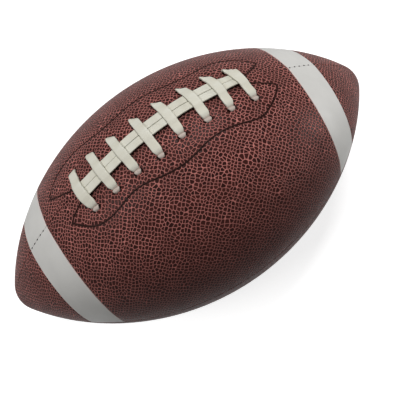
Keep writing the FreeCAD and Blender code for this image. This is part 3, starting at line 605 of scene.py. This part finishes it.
def relief_tree():
    """Geometry nodes that raise the pebbles off a panel, except where it is bare."""
    tree = bpy.data.node_groups.new("pebble_relief", "GeometryNodeTree")
    for way in ("INPUT", "OUTPUT"):
        tree.interface.new_socket("Geometry", in_out=way, socket_type="NodeSocketGeometry")
    start = node(tree, "NodeGroupInput").outputs[0]
    place, bare = [
        node(tree, "GeometryNodeInputNamedAttribute", {"Name": name},
             data_type=kind).outputs["Attribute"]
        for name, kind in ((SURFACE_MAP, "FLOAT_VECTOR"), ("bare", "FLOAT"))]
    inside, _ = pebble_nodes(tree, place)
    rise = map_range(tree, inside, (0.03, 0.24), (0.0, sizes().pebble_rise))
    lift = combine(tree, "MULTIPLY", rise, grain_share(tree, bare))
    normal = node(tree, "GeometryNodeInputNormal").outputs[0]
    offset = node(tree, "ShaderNodeVectorMath", {0: normal, "Scale": lift}, operation="SCALE")
    moved = node(tree, "GeometryNodeSetPosition",
                 {"Geometry": start, "Offset": offset.outputs[0]})
    node(tree, "NodeGroupOutput", {0: moved.outputs[0]})
    return tree


def raise_pebbles(piece, tree):
    """Run the relief on a piece and keep its result as the piece's mesh."""
    step = piece.modifiers.new("relief", "NODES")
    step.node_group = tree
    bpy.context.view_layer.update()
    shaped = piece.evaluated_get(bpy.context.evaluated_depsgraph_get())
    plain = piece.data
    piece.data = bpy.data.meshes.new_from_object(shaped)
    piece.modifiers.clear()
    piece.data.name = plain.name
    bpy.data.meshes.remove(plain)


# ------------------------------------------------------------ node helpers --
def feed(tree, value, socket):
    """Link a value to a socket, or set a plain number or colour on it."""
    if isinstance(value, bpy.types.NodeSocket):
        tree.links.new(value, socket)
    elif socket.type == "RGBA":
        socket.default_value = (*value, 1.0)
    else:
        socket.default_value = value


def node(tree, kind, values=None, **options):
    """A new node with its options set and its inputs fed, by their names or places."""
    item = tree.nodes.new(kind)
    for option, value in options.items():
        setattr(item, option, value)
    for socket, value in (values or {}).items():
        feed(tree, value, item.inputs[socket])
    return item


def map_range(tree, value, source, target, kind="SMOOTHSTEP"):
    """The output of a Map Range node from one span of values to another."""
    spans = dict(zip(("From Min", "From Max", "To Min", "To Max"), (*source, *target)))
    return node(tree, "ShaderNodeMapRange", {"Value": value, **spans},
                interpolation_type=kind).outputs["Result"]


def combine(tree, operation, first, second=0.0):
    """A Math node's output, of sockets or plain numbers."""
    return node(tree, "ShaderNodeMath", {0: first, 1: second}, operation=operation).outputs[0]


def mix_colour(tree, share, first, second):
    """A colour mixed from two, each a socket or three numbers.  A Mix node's colours are
    its inputs 6 and 7 and its output 2, because sockets of other kinds share the names."""
    return node(tree, "ShaderNodeMix", {0: share, 6: first, 7: second},
                data_type="RGBA").outputs[2]


def new_group(name, inputs, outputs):
    """A shader node group with named sockets, (name, kind, default), and its two ends."""
    tree = bpy.data.node_groups.new(name, "ShaderNodeTree")
    for label, kind, default in inputs:
        socket = tree.interface.new_socket(label, in_out="INPUT",
                                           socket_type=f"NodeSocket{kind}")
        if default is not None:
            socket.default_value = default
    for label in outputs:
        tree.interface.new_socket(label, in_out="OUTPUT", socket_type="NodeSocketFloat")
    return tree, node(tree, "NodeGroupInput").outputs, node(tree, "NodeGroupOutput").inputs


def use_group(tree, name, **values):
    """A placed node group's outputs, with its inputs set or linked by name."""
    return node(tree, "ShaderNodeGroup", values, node_tree=bpy.data.node_groups[name]).outputs


def fine_grain_group():
    """Fine skin of coated leather and rubber: a tone and a height."""
    tree, start, end = new_group(
        "fine_grain",
        (("Vector", "Vector", None), ("Grain", "Float", 1.5), ("Mottle", "Float", 0.05)),
        ("Tone", "Height"))
    fine, broad = [
        node(tree, "ShaderNodeTexNoise", {"Vector": start["Vector"], "Scale": start[scale],
                                          "Detail": detail}).outputs["Fac"]
        for scale, detail in (("Grain", 3.0), ("Mottle", 4.0))]
    feed(tree, map_range(tree, broad, (0.3, 0.7), (0.0, 1.0)), end["Tone"])
    feed(tree, fine, end["Height"])


def wave(tree, start, scale, direction, **values):
    """The bands of a Wave texture on a group's own vector, scaled by one of its inputs."""
    return node(tree, "ShaderNodeTexWave",
                {"Vector": start["Vector"], "Scale": start[scale], **values},
                wave_type="BANDS", bands_direction=direction).outputs["Fac"]


def cloth_weave_group():
    """Plain woven cloth: threads over and under, as a shade and a height."""
    tree, start, end = new_group(
        "cloth_weave", (("Vector", "Vector", None), ("Threads", "Float", 1.2)),
        ("Shade", "Height"))
    crossed = combine(tree, "MULTIPLY", *(
        wave(tree, start, "Threads", direction, Distortion=0.6, Detail=1.0)
        for direction in ("X", "Y")))
    feed(tree, crossed, end["Height"])
    feed(tree, map_range(tree, crossed, (0.0, 0.5), (0.75, 1.0)), end["Shade"])


def thread_twist_group():
    """Twisted plies of a thread, from a vector whose X runs along it."""
    tree, start, end = new_group(
        "thread_twist", (("Vector", "Vector", None), ("Twist", "Float", 1.4)),
        ("Shade", "Height"))
    ply = wave(tree, start, "Twist", "DIAGONAL", Distortion=0.8)
    feed(tree, ply, end["Height"])
    feed(tree, map_range(tree, ply, (0.0, 1.0), (0.55, 1.0)), end["Shade"])


def pebble_group():
    """The leather's pebbled grain: line mask, height and a random tone for each pebble."""
    tree, start, end = new_group(
        "pebble_grain", (("Vector", "Vector", None), ("Bare", "Float", 0.0)),
        ("Line", "Height", "Tone"))
    inside, chance = pebble_nodes(tree, start["Vector"])
    kept = grain_share(tree, start["Bare"])
    for label, source, target in (("Line", (0.025, 0.125), (1.0, 0.0)),
                                  ("Height", (0.0, 0.22), (0.0, 1.0))):
        mask = map_range(tree, inside, source, target)
        feed(tree, combine(tree, "MULTIPLY", mask, kept), end[label])
    feed(tree, node(tree, "ShaderNodeSeparateColor", {0: chance}).outputs[0], end["Tone"])


# --------------------------------------------------------------- materials --
def new_material(name, **constants):
    """A material with one Principled shader, its node tree and the shader's inputs."""
    material = bpy.data.materials.new(name)
    material.use_nodes = True
    inputs = material.node_tree.nodes["Principled BSDF"].inputs
    for label, value in constants.items():
        inputs[label.replace("_", " ")].default_value = value
    return material, material.node_tree, inputs


def surface_vector(tree):
    return node(tree, "ShaderNodeUVMap", uv_map=SURFACE_MAP).outputs[0]


def object_vector(tree):
    """Object coordinates in millimetres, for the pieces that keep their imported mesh."""
    place = node(tree, "ShaderNodeTexCoord").outputs["Object"]
    return node(tree, "ShaderNodeVectorMath", {0: place, "Scale": 1 / MM},
                operation="SCALE").outputs[0]


def point_mark(tree, name):
    """A value that the mesh holds at its points."""
    return node(tree, "ShaderNodeAttribute", attribute_name=name).outputs["Fac"]


def bump(tree, inputs, height, strength, depth):
    """A Bump node that feeds the shader's Normal, its depth in millimetres."""
    raised = node(tree, "ShaderNodeBump",
                  {"Strength": strength, "Distance": depth * MM, "Height": height})
    feed(tree, raised.outputs[0], inputs["Normal"])


PAINTED_SHADE_TINT = (0.012, 0.006, 0.005)  # painted shade: the near-black that the leather is darkened to in holes, under the lace and along the thread, where shade falls


def toned(tint, factor):
    return tuple(min(1.0, channel * factor) for channel in tint)


def pebbled_leather():
    tints = colours()
    material, tree, inputs = new_material("pebbled_leather", Specular_IOR_Level=0.052)
    vector = surface_vector(tree)
    grain = use_group(tree, "pebble_grain", Vector=vector, Bare=point_mark(tree, "bare"))
    skin = use_group(tree, "fine_grain", Vector=vector, Grain=2.2, Mottle=0.06)
    top = mix_colour(tree, grain["Tone"], toned(tints.pebble, 0.65), toned(tints.pebble, 1.6))
    line = mix_colour(tree, skin["Tone"], toned(tints.furrow, 0.68), tints.furrow)
    coat = mix_colour(tree, grain["Line"], top, line)
    # Painted shade: the leather is darkened towards its pebbles' colour away from the laced
    # seam, round towards the belly, for the light that falls off there.
    across = node(tree, "ShaderNodeSeparateXYZ", {0: vector}).outputs["Y"]
    below = map_range(tree, combine(tree, "ABSOLUTE", across), (35.0, 100.0), (0.0, 0.52))
    coat = mix_colour(tree, below, coat, tints.pebble)
    # Painted shade: near-black in the holes, the strands' groove, the outline's sunk line and
    # the valve's well.
    dark = combine(tree, "MULTIPLY", point_mark(tree, "dark"), 0.85)
    feed(tree, mix_colour(tree, dark, coat, PAINTED_SHADE_TINT), inputs["Base Color"])
    feed(tree, map_range(tree, grain["Line"], (0.0, 1.0), (0.30, 0.5), "LINEAR"),
         inputs["Roughness"])
    fine = combine(tree, "MULTIPLY", skin["Height"], 0.25)
    bump(tree, inputs, combine(tree, "ADD", grain["Height"], fine), 0.6, 0.22)
    return material


def skinned(name, vector_from, scales, tints, rough, relief, edge=None, **constants):
    """A material whose fine skin moves its colour between two tints, and its roughness.

    Scales are the fine and the broad skin's, relief is the bump's strength and depth,
    and edge is a mark of the mesh's points with the tint that it brings.
    """
    material, tree, inputs = new_material(name, **constants)
    skin = use_group(tree, "fine_grain", Vector=vector_from(tree),
                     Grain=scales[0], Mottle=scales[1])
    coat = mix_colour(tree, skin["Tone"], *tints)
    if edge:
        coat = mix_colour(tree, point_mark(tree, edge[0]), coat, edge[1])
    feed(tree, coat, inputs["Base Color"])
    feed(tree, map_range(tree, skin["Tone"], (0.0, 1.0), rough, "LINEAR"), inputs["Roughness"])
    bump(tree, inputs, skin["Height"], *relief)
    return material


def stripe_coat():
    tints = colours()
    return skinned("stripe_coat", surface_vector, (1.1, 0.05),
                   (toned(tints.stripe, 0.93), tints.stripe), (0.48, 0.38), (0.35, 0.18),
                   ("rim", tints.stripe_rim), Specular_IOR_Level=0.2)


def coated_lace():
    tints = colours()
    dull = [channel * factor for channel, factor in zip(tints.lace, (0.90, 0.88, 0.84))]
    # The lace's mark brings painted shade where it dives into its holes.
    return skinned("coated_lace", surface_vector, (1.6, 0.12), (dull, tints.lace),
                   (0.5, 0.38), (0.3, 0.12), ("tucked", tints.tucked), Specular_IOR_Level=0.2)


def plain_skin(name, tint, roughness, scales, depth):
    """Leather backs and rubber."""
    return skinned(name, object_vector, scales, (toned(tint, 0.7), toned(tint, 1.3)),
                   (roughness + 0.08, roughness - 0.06), (0.4, depth))


def spun(name, tint, shade, pattern, relief, vector_from, **constants):
    """A material of thread or cloth: a group, with its one scale, shades the tint."""
    material, tree, inputs = new_material(name, **constants)
    group, label, scale = pattern
    threads = use_group(tree, group, **{"Vector": vector_from(tree), label: scale})
    feed(tree, mix_colour(tree, threads["Shade"], toned(tint, shade), tint),
         inputs["Base Color"])
    bump(tree, inputs, threads["Height"], *relief)
    return material


def twisted_thread(name, tint, vector_from, twist):
    return spun(name, tint, 0.5, ("thread_twist", "Twist", twist), (0.5, 0.1), vector_from,
                Roughness=0.75, Specular_IOR_Level=0.03)


def woven_cloth(name, tint, threads):
    return spun(name, tint, 0.6, ("cloth_weave", "Threads", threads), (0.6, 0.2),
                object_vector, Roughness=0.9, Sheen_Weight=0.2)


# ------------------------------------------------------------------ stripes --
def build_stripe(ball, spot, word, material):
    """A smooth strip let into a panel, with softened edges, from seam to seam."""
    end, play, (inner, outer) = ENDS[word], mm("stripe_play"), stripe_edges()
    low, high = ball.along_at(inner + play), ball.along_at(outer - play)
    soft = 0.25  # radius of the strip's rounded edges
    insets = np.array([0.0, 0.04, 0.12, soft])
    drop = soft - np.sqrt(soft ** 2 - (soft - insets) ** 2)
    inside = np.linspace(low + 2 * soft, high - 2 * soft, 32)
    columns = np.r_[low + insets, inside, high - insets[::-1]] * end
    fall = np.r_[drop, inside * 0, drop[::-1]]
    if end < 0:
        columns, fall = columns[::-1], fall[::-1]
    turn, depth, shown = panel_ring(ball, columns)
    turn, depth = turn[:, shown], depth[:, shown]
    turn = np.hstack([turn, turn[:, ::-1]])
    depth = np.hstack([depth + fall[:, None], depth[:, ::-1] + mm("stripe_wall")])
    _, along, angle = lay_out(columns, turn, spot, ball)
    faces, steps = tube_faces(*turn.shape)
    _, surface = surface_places(ball, along, angle, steps)
    edge = np.minimum(np.abs(columns) - low, high - np.abs(columns))
    rim = np.repeat(1 - blend_step(0.2, 0.7, edge), turn.shape[1])
    return mesh_piece(f"white_stripe_{spot}_{word}",
                      ball.point(along, angle, -depth).reshape(-1, 3), faces,
                      maps=((SURFACE_MAP, surface),), marks=(("rim", rim),),
                      material=material)


# --------------------------------------------------------------------- lace --
def around(ball, along, across):
    """The direction across the surface, towards +Y, at places over the ball."""
    angle = across / ball.radius_at(along)
    return np.stack([0 * angle, np.cos(angle), -np.sin(angle)], -1)


def ahead(ball, along, across):
    """The direction along the surface, towards +X."""
    _, radius, slope = ball.outline(along)
    angle = across / radius
    return np.stack([np.cos(slope), -np.sin(slope) * np.sin(angle),
                     -np.sin(slope) * np.cos(angle)], -1)


def lace_cross(ball, collector, number):
    """One cross: out of its front hole, over both strands and askew into its rear hole."""
    cross = CROSSES[number]
    front_along, rear_along = cross_line(number)
    front, rear = cross.front, (cross.right + cross.left) / 2
    half, wall = mm("lace_width") / 2, mm("lace_wall")
    low, high = wall / 2 + 0.15, 1.5 * wall + 0.3  # on the leather and on the strands
    middle = strand_middle((front_along + rear_along) / 2)
    edge = mm("strand_width") + 0.2
    # Rows: across the seam, and height over the surface.
    knots = [
        (front + 1.6, -4.5), (front + 1.7, -2.0), (front + 2.1, -0.7), (front + 3.0, 0.2),
        (front + 4.5, low), (middle - edge - 2.8, low + 0.3), (middle - edge, high - 0.3),
        (middle - edge / 2, high), (middle, high), (middle + edge / 2, high),
        (middle + edge, high - 0.3), (middle + edge + 3.2, low + 0.25), (rear - 2.4, low),
        (rear - 1.0, 0.35), (rear + 0.4, -0.5), (rear + 1.6, -1.5), (rear + 2.3, -2.8),
        (rear + 2.5, -4.5)]
    # All but the last five knots, which dive in, are put in order from front to rear.
    across, height = smooth_path(sorted(knots[:-5]) + knots[-5:], 0.5).T
    share = (across - front) / (rear - front)
    along = (front_along + (rear_along - front_along) * share
             + cross.bow * np.sin(np.pi * np.clip(share, 0, 1))
             - cross.hook * blend_step(rear - 5, rear + 1.5, across))
    path = ball.over(along, across, height)
    # A cross whose right edge goes under first turns on its side as it dives.
    sink = np.clip((cross.left - cross.right) * 0.13, 0, 0.5)
    roll = sink * blend_step(rear - 4.5, rear + 0.5, across) + 0.02 * np.sin(number * 2.3)
    # It folds narrower at its front hole and again, in two steps, at its rear end.
    narrow = (1.0 + cross.wider * bell(share - cross.widest, 0.3)
              - 0.28 * (1 - blend_step(front + 1.4, front + 4.6, across))
              - 0.12 * blend_step(rear - 3.5, rear + 1.5, across)
              - 0.4 * blend_step(rear - 0.2, rear + 2.2, across)
              + 0.015 * np.sin(across * 0.5 + number))
    # Painted shade: the front end is darkened where it dives into its hole.
    tucked = 0.6 * (1 - blend_step(front + 1.6, front + 3.2, across))
    collector.tube(path, ahead(ball, along, across), half, wall / 2, sides=20, square=0.42,
                   roll=roll, narrow=narrow, tucked=tucked)


def lace_tuck(ball, collector, number):
    """The bit of lace that shows in a front hole, beyond the cross that dives in."""
    along, _ = cross_line(number)
    front = CROSSES[number].front
    knots = [(front + 1.5, -3.2), (front + 1.2, -1.2), (front + 0.8, -0.4),
             (front + 0.1, 0.0), (front - 0.8, -0.3), (front - 1.2, -1.2), (front - 1.3, -3.2)]
    across, height = smooth_path(knots, 0.3).T
    along = along - 0.1 + 0 * across
    # The whole bit takes painted shade, for the shade in its hole.
    collector.tube(ball.over(along, across, height), ahead(ball, along, across),
                   2.2 + 0.2 * math.sin(number * 1.7), 0.5, sides=16, square=0.8,
                   narrow=1.0 - 0.3 * (1 - blend_step(front - 1.2, front + 0.2, across)),
                   tucked=0.75)


def lace_strand(ball, collector, side):
    """One of the two long strands under the crosses, folded in at both ends."""
    wall, width = mm("lace_wall"), mm("strand_width")
    low, (start, end) = wall / 2 + 0.12, STRAND_ENDS
    knots = [(start - 0.2, -4.5), (start, -1.5), (start + 0.5, -0.1), (start + 1.8, low)]
    knots += [(along, low) for along in np.linspace(start + 5, end - 5, 30)]
    knots += [(end - 1.8, low), (end - 0.5, -0.1), (end, -1.5), (end + 0.2, -4.5)]
    along, height = smooth_path(knots, 0.8).T
    # The strands narrow near their right end, and lie apart along their middle stretch.
    narrow = 1.0 - 0.16 * blend_step(43, 50, along) + 0.012 * np.sin(along * 0.31 + side)
    apart = 0.02 + 0.09 * blend_step(-32, -20, along) * (1 - blend_step(40, 50, along))
    across = strand_middle(along) + side * (width / 2 * narrow + apart)
    path = ball.over(along, across, height)
    collector.tube(path, around(ball, along, across), width / 2, wall / 2, sides=20,
                   square=0.42, narrow=narrow)


# ------------------------------------------------------------------ threads --
RAIL_DEPTH = 3.9  # of the two hidden lines of thread that the seam's stitches join
# A stitch of the seam: across the crease, and height over the surface.
SEAM_STITCH = ((-1.7, -RAIL_DEPTH), (-1.15, -1.8), (-0.75, -0.62), (-0.45, -0.28),
               (0.0, -0.2), (0.45, -0.28), (0.75, -0.62), (1.15, -1.8), (1.7, -RAIL_DEPTH))


def crease_stitches(ball, collector, stations):
    """Thread that crosses the laced seam's crease at each station and dives beside it."""
    across, height = smooth_path(SEAM_STITCH, 0.25).T
    for count, station in enumerate(stations):
        along = station + 0.12 * math.sin(count * 2.4) + across * 0.4
        collector.tube(ball.over(along, across, height), ahead(ball, along, across),
                       half_width=0.5, half_wall=0.3, sides=8, square=0.8)


def inner_rails(ball, collector, start, end):
    """The two lines of thread behind the seam's turned-in edges."""
    along = np.arange(start, end, 1.2)
    for side in (-1, 1):
        path = ball.point(along, side * 1.75 / (mm("ball_radius") - RAIL_DEPTH),
                          -RAIL_DEPTH)
        collector.tube(path, around(ball, along, 0 * along), half_width=0.4, half_wall=0.4,
                       sides=8, square=0.8)


def outline_stitches(ball, collector, spot):
    """The outline's stitches, end to end along each of its lines."""
    step, half = 0.25, mm("outline_thread") / 2
    count = round(mm("outline_stitch") / step)
    level = -0.08 if spot == "front_top" else -0.22  # the rear line is pulled in deeper
    for line in outline_lines(spot, step):
        for start in range(0, len(line) - 3, count):
            along, across = line[start:start + count - 1].T
            if len(along) < 4:
                continue
            share = np.linspace(-1, 1, len(along))
            height = level - 0.4 * np.abs(share) ** 6
            path = ball.over(along, across, height)
            out = ball.over(along, across, height + 1) - path
            flat = np.cross(np.gradient(path, axis=0), out)
            collector.tube(path, flat, half, half * 0.8, sides=8, square=0.85)


# ---------------------------------------------------------------- operators --
def keep_material(nodes, material):
    """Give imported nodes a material; their meshes stay as they are."""
    for name in nodes:
        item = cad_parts[name]
        item.data.materials.clear()
        item.data.materials.append(material)


class FOOTBALL_OT_effects(Operator):
    """Make the shader effects that the materials share"""
    bl_idname = "football.effects"
    bl_label = "Shared effects"

    def execute(self, context):
        fine_grain_group()
        cloth_weave_group()
        thread_twist_group()
        pebble_group()
        return {"FINISHED"}


class FOOTBALL_OT_cover(Operator):
    """Build the four pebbled cover panels"""
    bl_idname = "football.cover"
    bl_label = "Cover panels"

    def execute(self, context):
        ball, tree, leather = Ball(), relief_tree(), pebbled_leather()
        for spot in PANELS:
            panel = build_panel(ball, spot, leather)
            raise_pebbles(panel, tree)
            dress(panel, f"cover_{spot}")
        return {"FINISHED"}


class FOOTBALL_OT_stripes(Operator):
    """Build the four white stripe pieces"""
    bl_idname = "football.stripes"
    bl_label = "Stripes"

    def execute(self, context):
        ball, coat = Ball(), stripe_coat()
        for spot in ("front_top", "rear_top"):
            for word in ENDS:
                stripe = build_stripe(ball, spot, word, coat)
                dress(stripe, f"stripe_{spot.split('_')[0]}_{word}")
        return {"FINISHED"}


class FOOTBALL_OT_lace(Operator):
    """Build the flat lace: eight crosses over two long strands"""
    bl_idname = "football.lace"
    bl_label = "Lace"

    def execute(self, context):
        ball, collector = Ball(), Collector()
        for number in range(len(CROSSES)):
            lace_cross(ball, collector, number)
            lace_tuck(ball, collector, number)
        for side in (-1, 1):
            lace_strand(ball, collector, side)
        dress(collector.piece("flat_lace", coated_lace()), "lace")
        return {"FINISHED"}


class FOOTBALL_OT_threads(Operator):
    """Build the seam's stitches and the outline stitched round the lacing"""
    bl_idname = "football.threads"
    bl_label = "Stitching"

    def execute(self, context):
        ball = Ball()
        thread = twisted_thread("seam_thread", colours().thread, surface_vector, 1.4)
        pitch = mm("stitch_pitch")
        for word, end in ENDS.items():
            collector = Collector()
            stations = [end * (mm("seam_start") + pitch * step)
                        for step in range(SEAM_STITCHES)]
            crease_stitches(ball, collector, stations)
            inner_rails(ball, collector, min(stations), max(stations))
            dress(collector.piece(f"crease_stitches_{word}", thread),
                  f"seam_thread_{word}")
        outline = twisted_thread("outline_thread", colours().outline, surface_vector, 1.2)
        for spot in ("front", "rear"):
            collector = Collector()
            outline_stitches(ball, collector, f"{spot}_top")
            dress(collector.piece(f"outline_stitches_{spot}", outline),
                  f"facing_thread_{spot}")
        hidden = twisted_thread("hidden_thread", colours().thread, object_vector, 1.4)
        keep_material([f"seam_thread_{spot}" for spot in ("front", "bottom", "rear")], hidden)
        return {"FINISHED"}


class FOOTBALL_OT_inside(Operator):
    """Finish the linings, facings, tongue, bladder and valve"""
    bl_idname = "football.inside"
    bl_label = "Inner pieces"

    def execute(self, context):
        tints = colours()
        keep_material([f"lining_{spot}" for spot in PANELS],
                      woven_cloth("lining_cloth", tints.cloth, 0.9))
        keep_material(["lace_tongue"],
                      woven_cloth("tongue_cloth", toned(tints.cloth, 0.6), 0.6))
        for nodes, name, tint, roughness, scales, depth in (
                (("lace_facing_front", "lace_facing_rear"),
                 "facing_leather", tints.facing, 0.8, (1.2, 0.08), 0.2),
                (("bladder", "valve_patch"),
                 "bladder_rubber", tints.rubber, 0.6, (0.8, 0.04), 0.08),
                (("valve_housing", "valve_core"),
                 "valve_rubber", tints.rubber, 0.5, (3.0, 0.3), 0.05)):
            keep_material(nodes, plain_skin(name, tint, roughness, scales, depth))
        return {"FINISHED"}


# -------------------------------------------------------------------- stage --
CAMERA_AT = Vector((-0.0111205, -0.1597773, 0.2938426))
CAMERA_RIGHT = Vector((0.83081667, -0.51089839, -0.22074077))
CAMERA_DOWN = Vector((-0.55545688, -0.7363774, -0.38628483))
CAMERA_FORWARD = Vector((0.03480379, 0.44354386, -0.89557665))
CAMERA_LENS, CAMERA_SENSOR = 42.038, 36.0  # mm
# Name, place in metres, watts and width in metres of each lamp.
LAMPS = (("key_lamp", (0.30, 0.18, 0.90), 5.0, 0.30),
         ("left_lamp", (-0.52, -0.06, 0.84), 4.0, 0.40),
         ("side_lamp", (0.93, -0.34, 0.14), 3.9, 0.30))
FILL_LIGHT = 0.04  # the studio's own light on the ball, as a share of full white


def set_camera():
    data = bpy.data.cameras.new("camera")
    data.sensor_width = CAMERA_SENSOR
    data.lens = CAMERA_LENS
    axes = Matrix((CAMERA_RIGHT, -CAMERA_DOWN, -CAMERA_FORWARD)).transposed().to_4x4()
    camera = new_object("camera", data)
    camera.matrix_world = Matrix.Translation(CAMERA_AT) @ axes
    bpy.context.scene.camera = camera


def add_lamp(name, place, power, width):
    """A soft square lamp that faces the ball."""
    data = bpy.data.lights.new(name, "AREA")
    data.energy = power
    data.shape = "SQUARE"
    data.size = width
    lamp = new_object(name, data)
    lamp.location = place
    lamp.rotation_euler = (-Vector(place)).to_track_quat("-Z", "Y").to_euler()


def seen_directly(tree):
    """1 for rays from the camera, a mirror or glass, which show the white studio."""
    path = node(tree, "ShaderNodeLightPath")
    share = combine(tree, "MAXIMUM", path.outputs["Is Camera Ray"],
                    path.outputs["Is Glossy Ray"])
    return combine(tree, "MAXIMUM", share, path.outputs["Is Transmission Ray"])


def set_world():
    """A white studio to the eye and to reflections, and a faint fill light otherwise."""
    world = bpy.data.worlds.new("studio")
    world.use_nodes = True
    tree = world.node_tree
    back = tree.nodes["Background"].inputs
    feed(tree, (1.0, 1.0, 1.0), back["Color"])
    feed(tree, map_range(tree, seen_directly(tree), (0, 1), (FILL_LIGHT, 1.0), "LINEAR"),
         back["Strength"])
    bpy.context.scene.world = world


def add_floor(half=3.0):
    """A plain pale floor under the ball, white to the eye but for the ball's shadow,
    and clear from below, so that the ball's underside can be looked at."""
    level = CAD_BOX[0][2]
    mesh = bpy.data.meshes.new("floor")
    mesh.from_pydata([(-half, -half, level), (half, -half, level), (half, half, level),
                      (-half, half, level)], [], [(0, 1, 2, 3)])
    material, tree, inputs = new_material("pale_floor", Roughness=0.9, Specular_IOR_Level=0.0,
                                          Emission_Color=(1.0, 1.0, 1.0, 1.0))
    seen = node(tree, "ShaderNodeLightPath").outputs["Is Camera Ray"]
    # To other rays the floor is dark, so that it lights the ball's underside but little.
    feed(tree, map_range(tree, seen, (0, 1), (0.12, 0.7), "LINEAR"), inputs["Base Color"])
    spot = node(tree, "ShaderNodeNewGeometry").outputs
    away = node(tree, "ShaderNodeVectorMath", {0: spot["Position"]}, operation="LENGTH")
    glow = map_range(tree, away.outputs["Value"], (0.3, 1.5), (0.75, 1.0), "LINEAR")
    feed(tree, combine(tree, "MULTIPLY", seen_directly(tree), glow),
         inputs["Emission Strength"])
    feed(tree, combine(tree, "SUBTRACT", 1.0, spot["Backfacing"]), inputs["Alpha"])
    mesh.materials.append(material)
    new_object("floor", mesh)


class FOOTBALL_OT_stage(Operator):
    """Set the floor, lamps, world and camera"""
    bl_idname = "football.stage"
    bl_label = "Stage"

    def execute(self, context):
        context.scene.view_settings.view_transform = "Standard"
        add_floor()
        set_world()
        for lamp in LAMPS:
            add_lamp(*lamp)
        set_camera()
        return {"FINISHED"}


class FOOTBALL_PT_panel(Panel):
    bl_idname = "FOOTBALL_PT_panel"
    bl_label = "Football"
    bl_space_type = "VIEW_3D"
    bl_region_type = "UI"
    bl_category = "Football"

    def draw(self, context):
        for operator in OPERATORS:
            self.layout.operator(operator.bl_idname)
        for group in (context.scene.football_sizes, context.scene.football_colours):
            box = self.layout.box()
            for name in group.__annotations__:
                box.prop(group, name)


OPERATORS = (FOOTBALL_OT_effects, FOOTBALL_OT_cover, FOOTBALL_OT_stripes, FOOTBALL_OT_lace,
             FOOTBALL_OT_threads, FOOTBALL_OT_inside, FOOTBALL_OT_stage)
CLASSES = (FootballSizes, FootballColours, *OPERATORS, FOOTBALL_PT_panel)


def register():
    for item in CLASSES:
        bpy.utils.register_class(item)
    bpy.types.Scene.football_sizes = PointerProperty(type=FootballSizes)
    bpy.types.Scene.football_colours = PointerProperty(type=FootballColours)


def unregister():
    del bpy.types.Scene.football_colours
    del bpy.types.Scene.football_sizes
    for item in reversed(CLASSES):
        bpy.utils.unregister_class(item)


def main():
    register()
    for operator in OPERATORS:
        group, name = operator.bl_idname.split(".")
        getattr(getattr(bpy.ops, group), name)()
    bpy.context.view_layer.update()


if __name__ == "__main__":
    main()
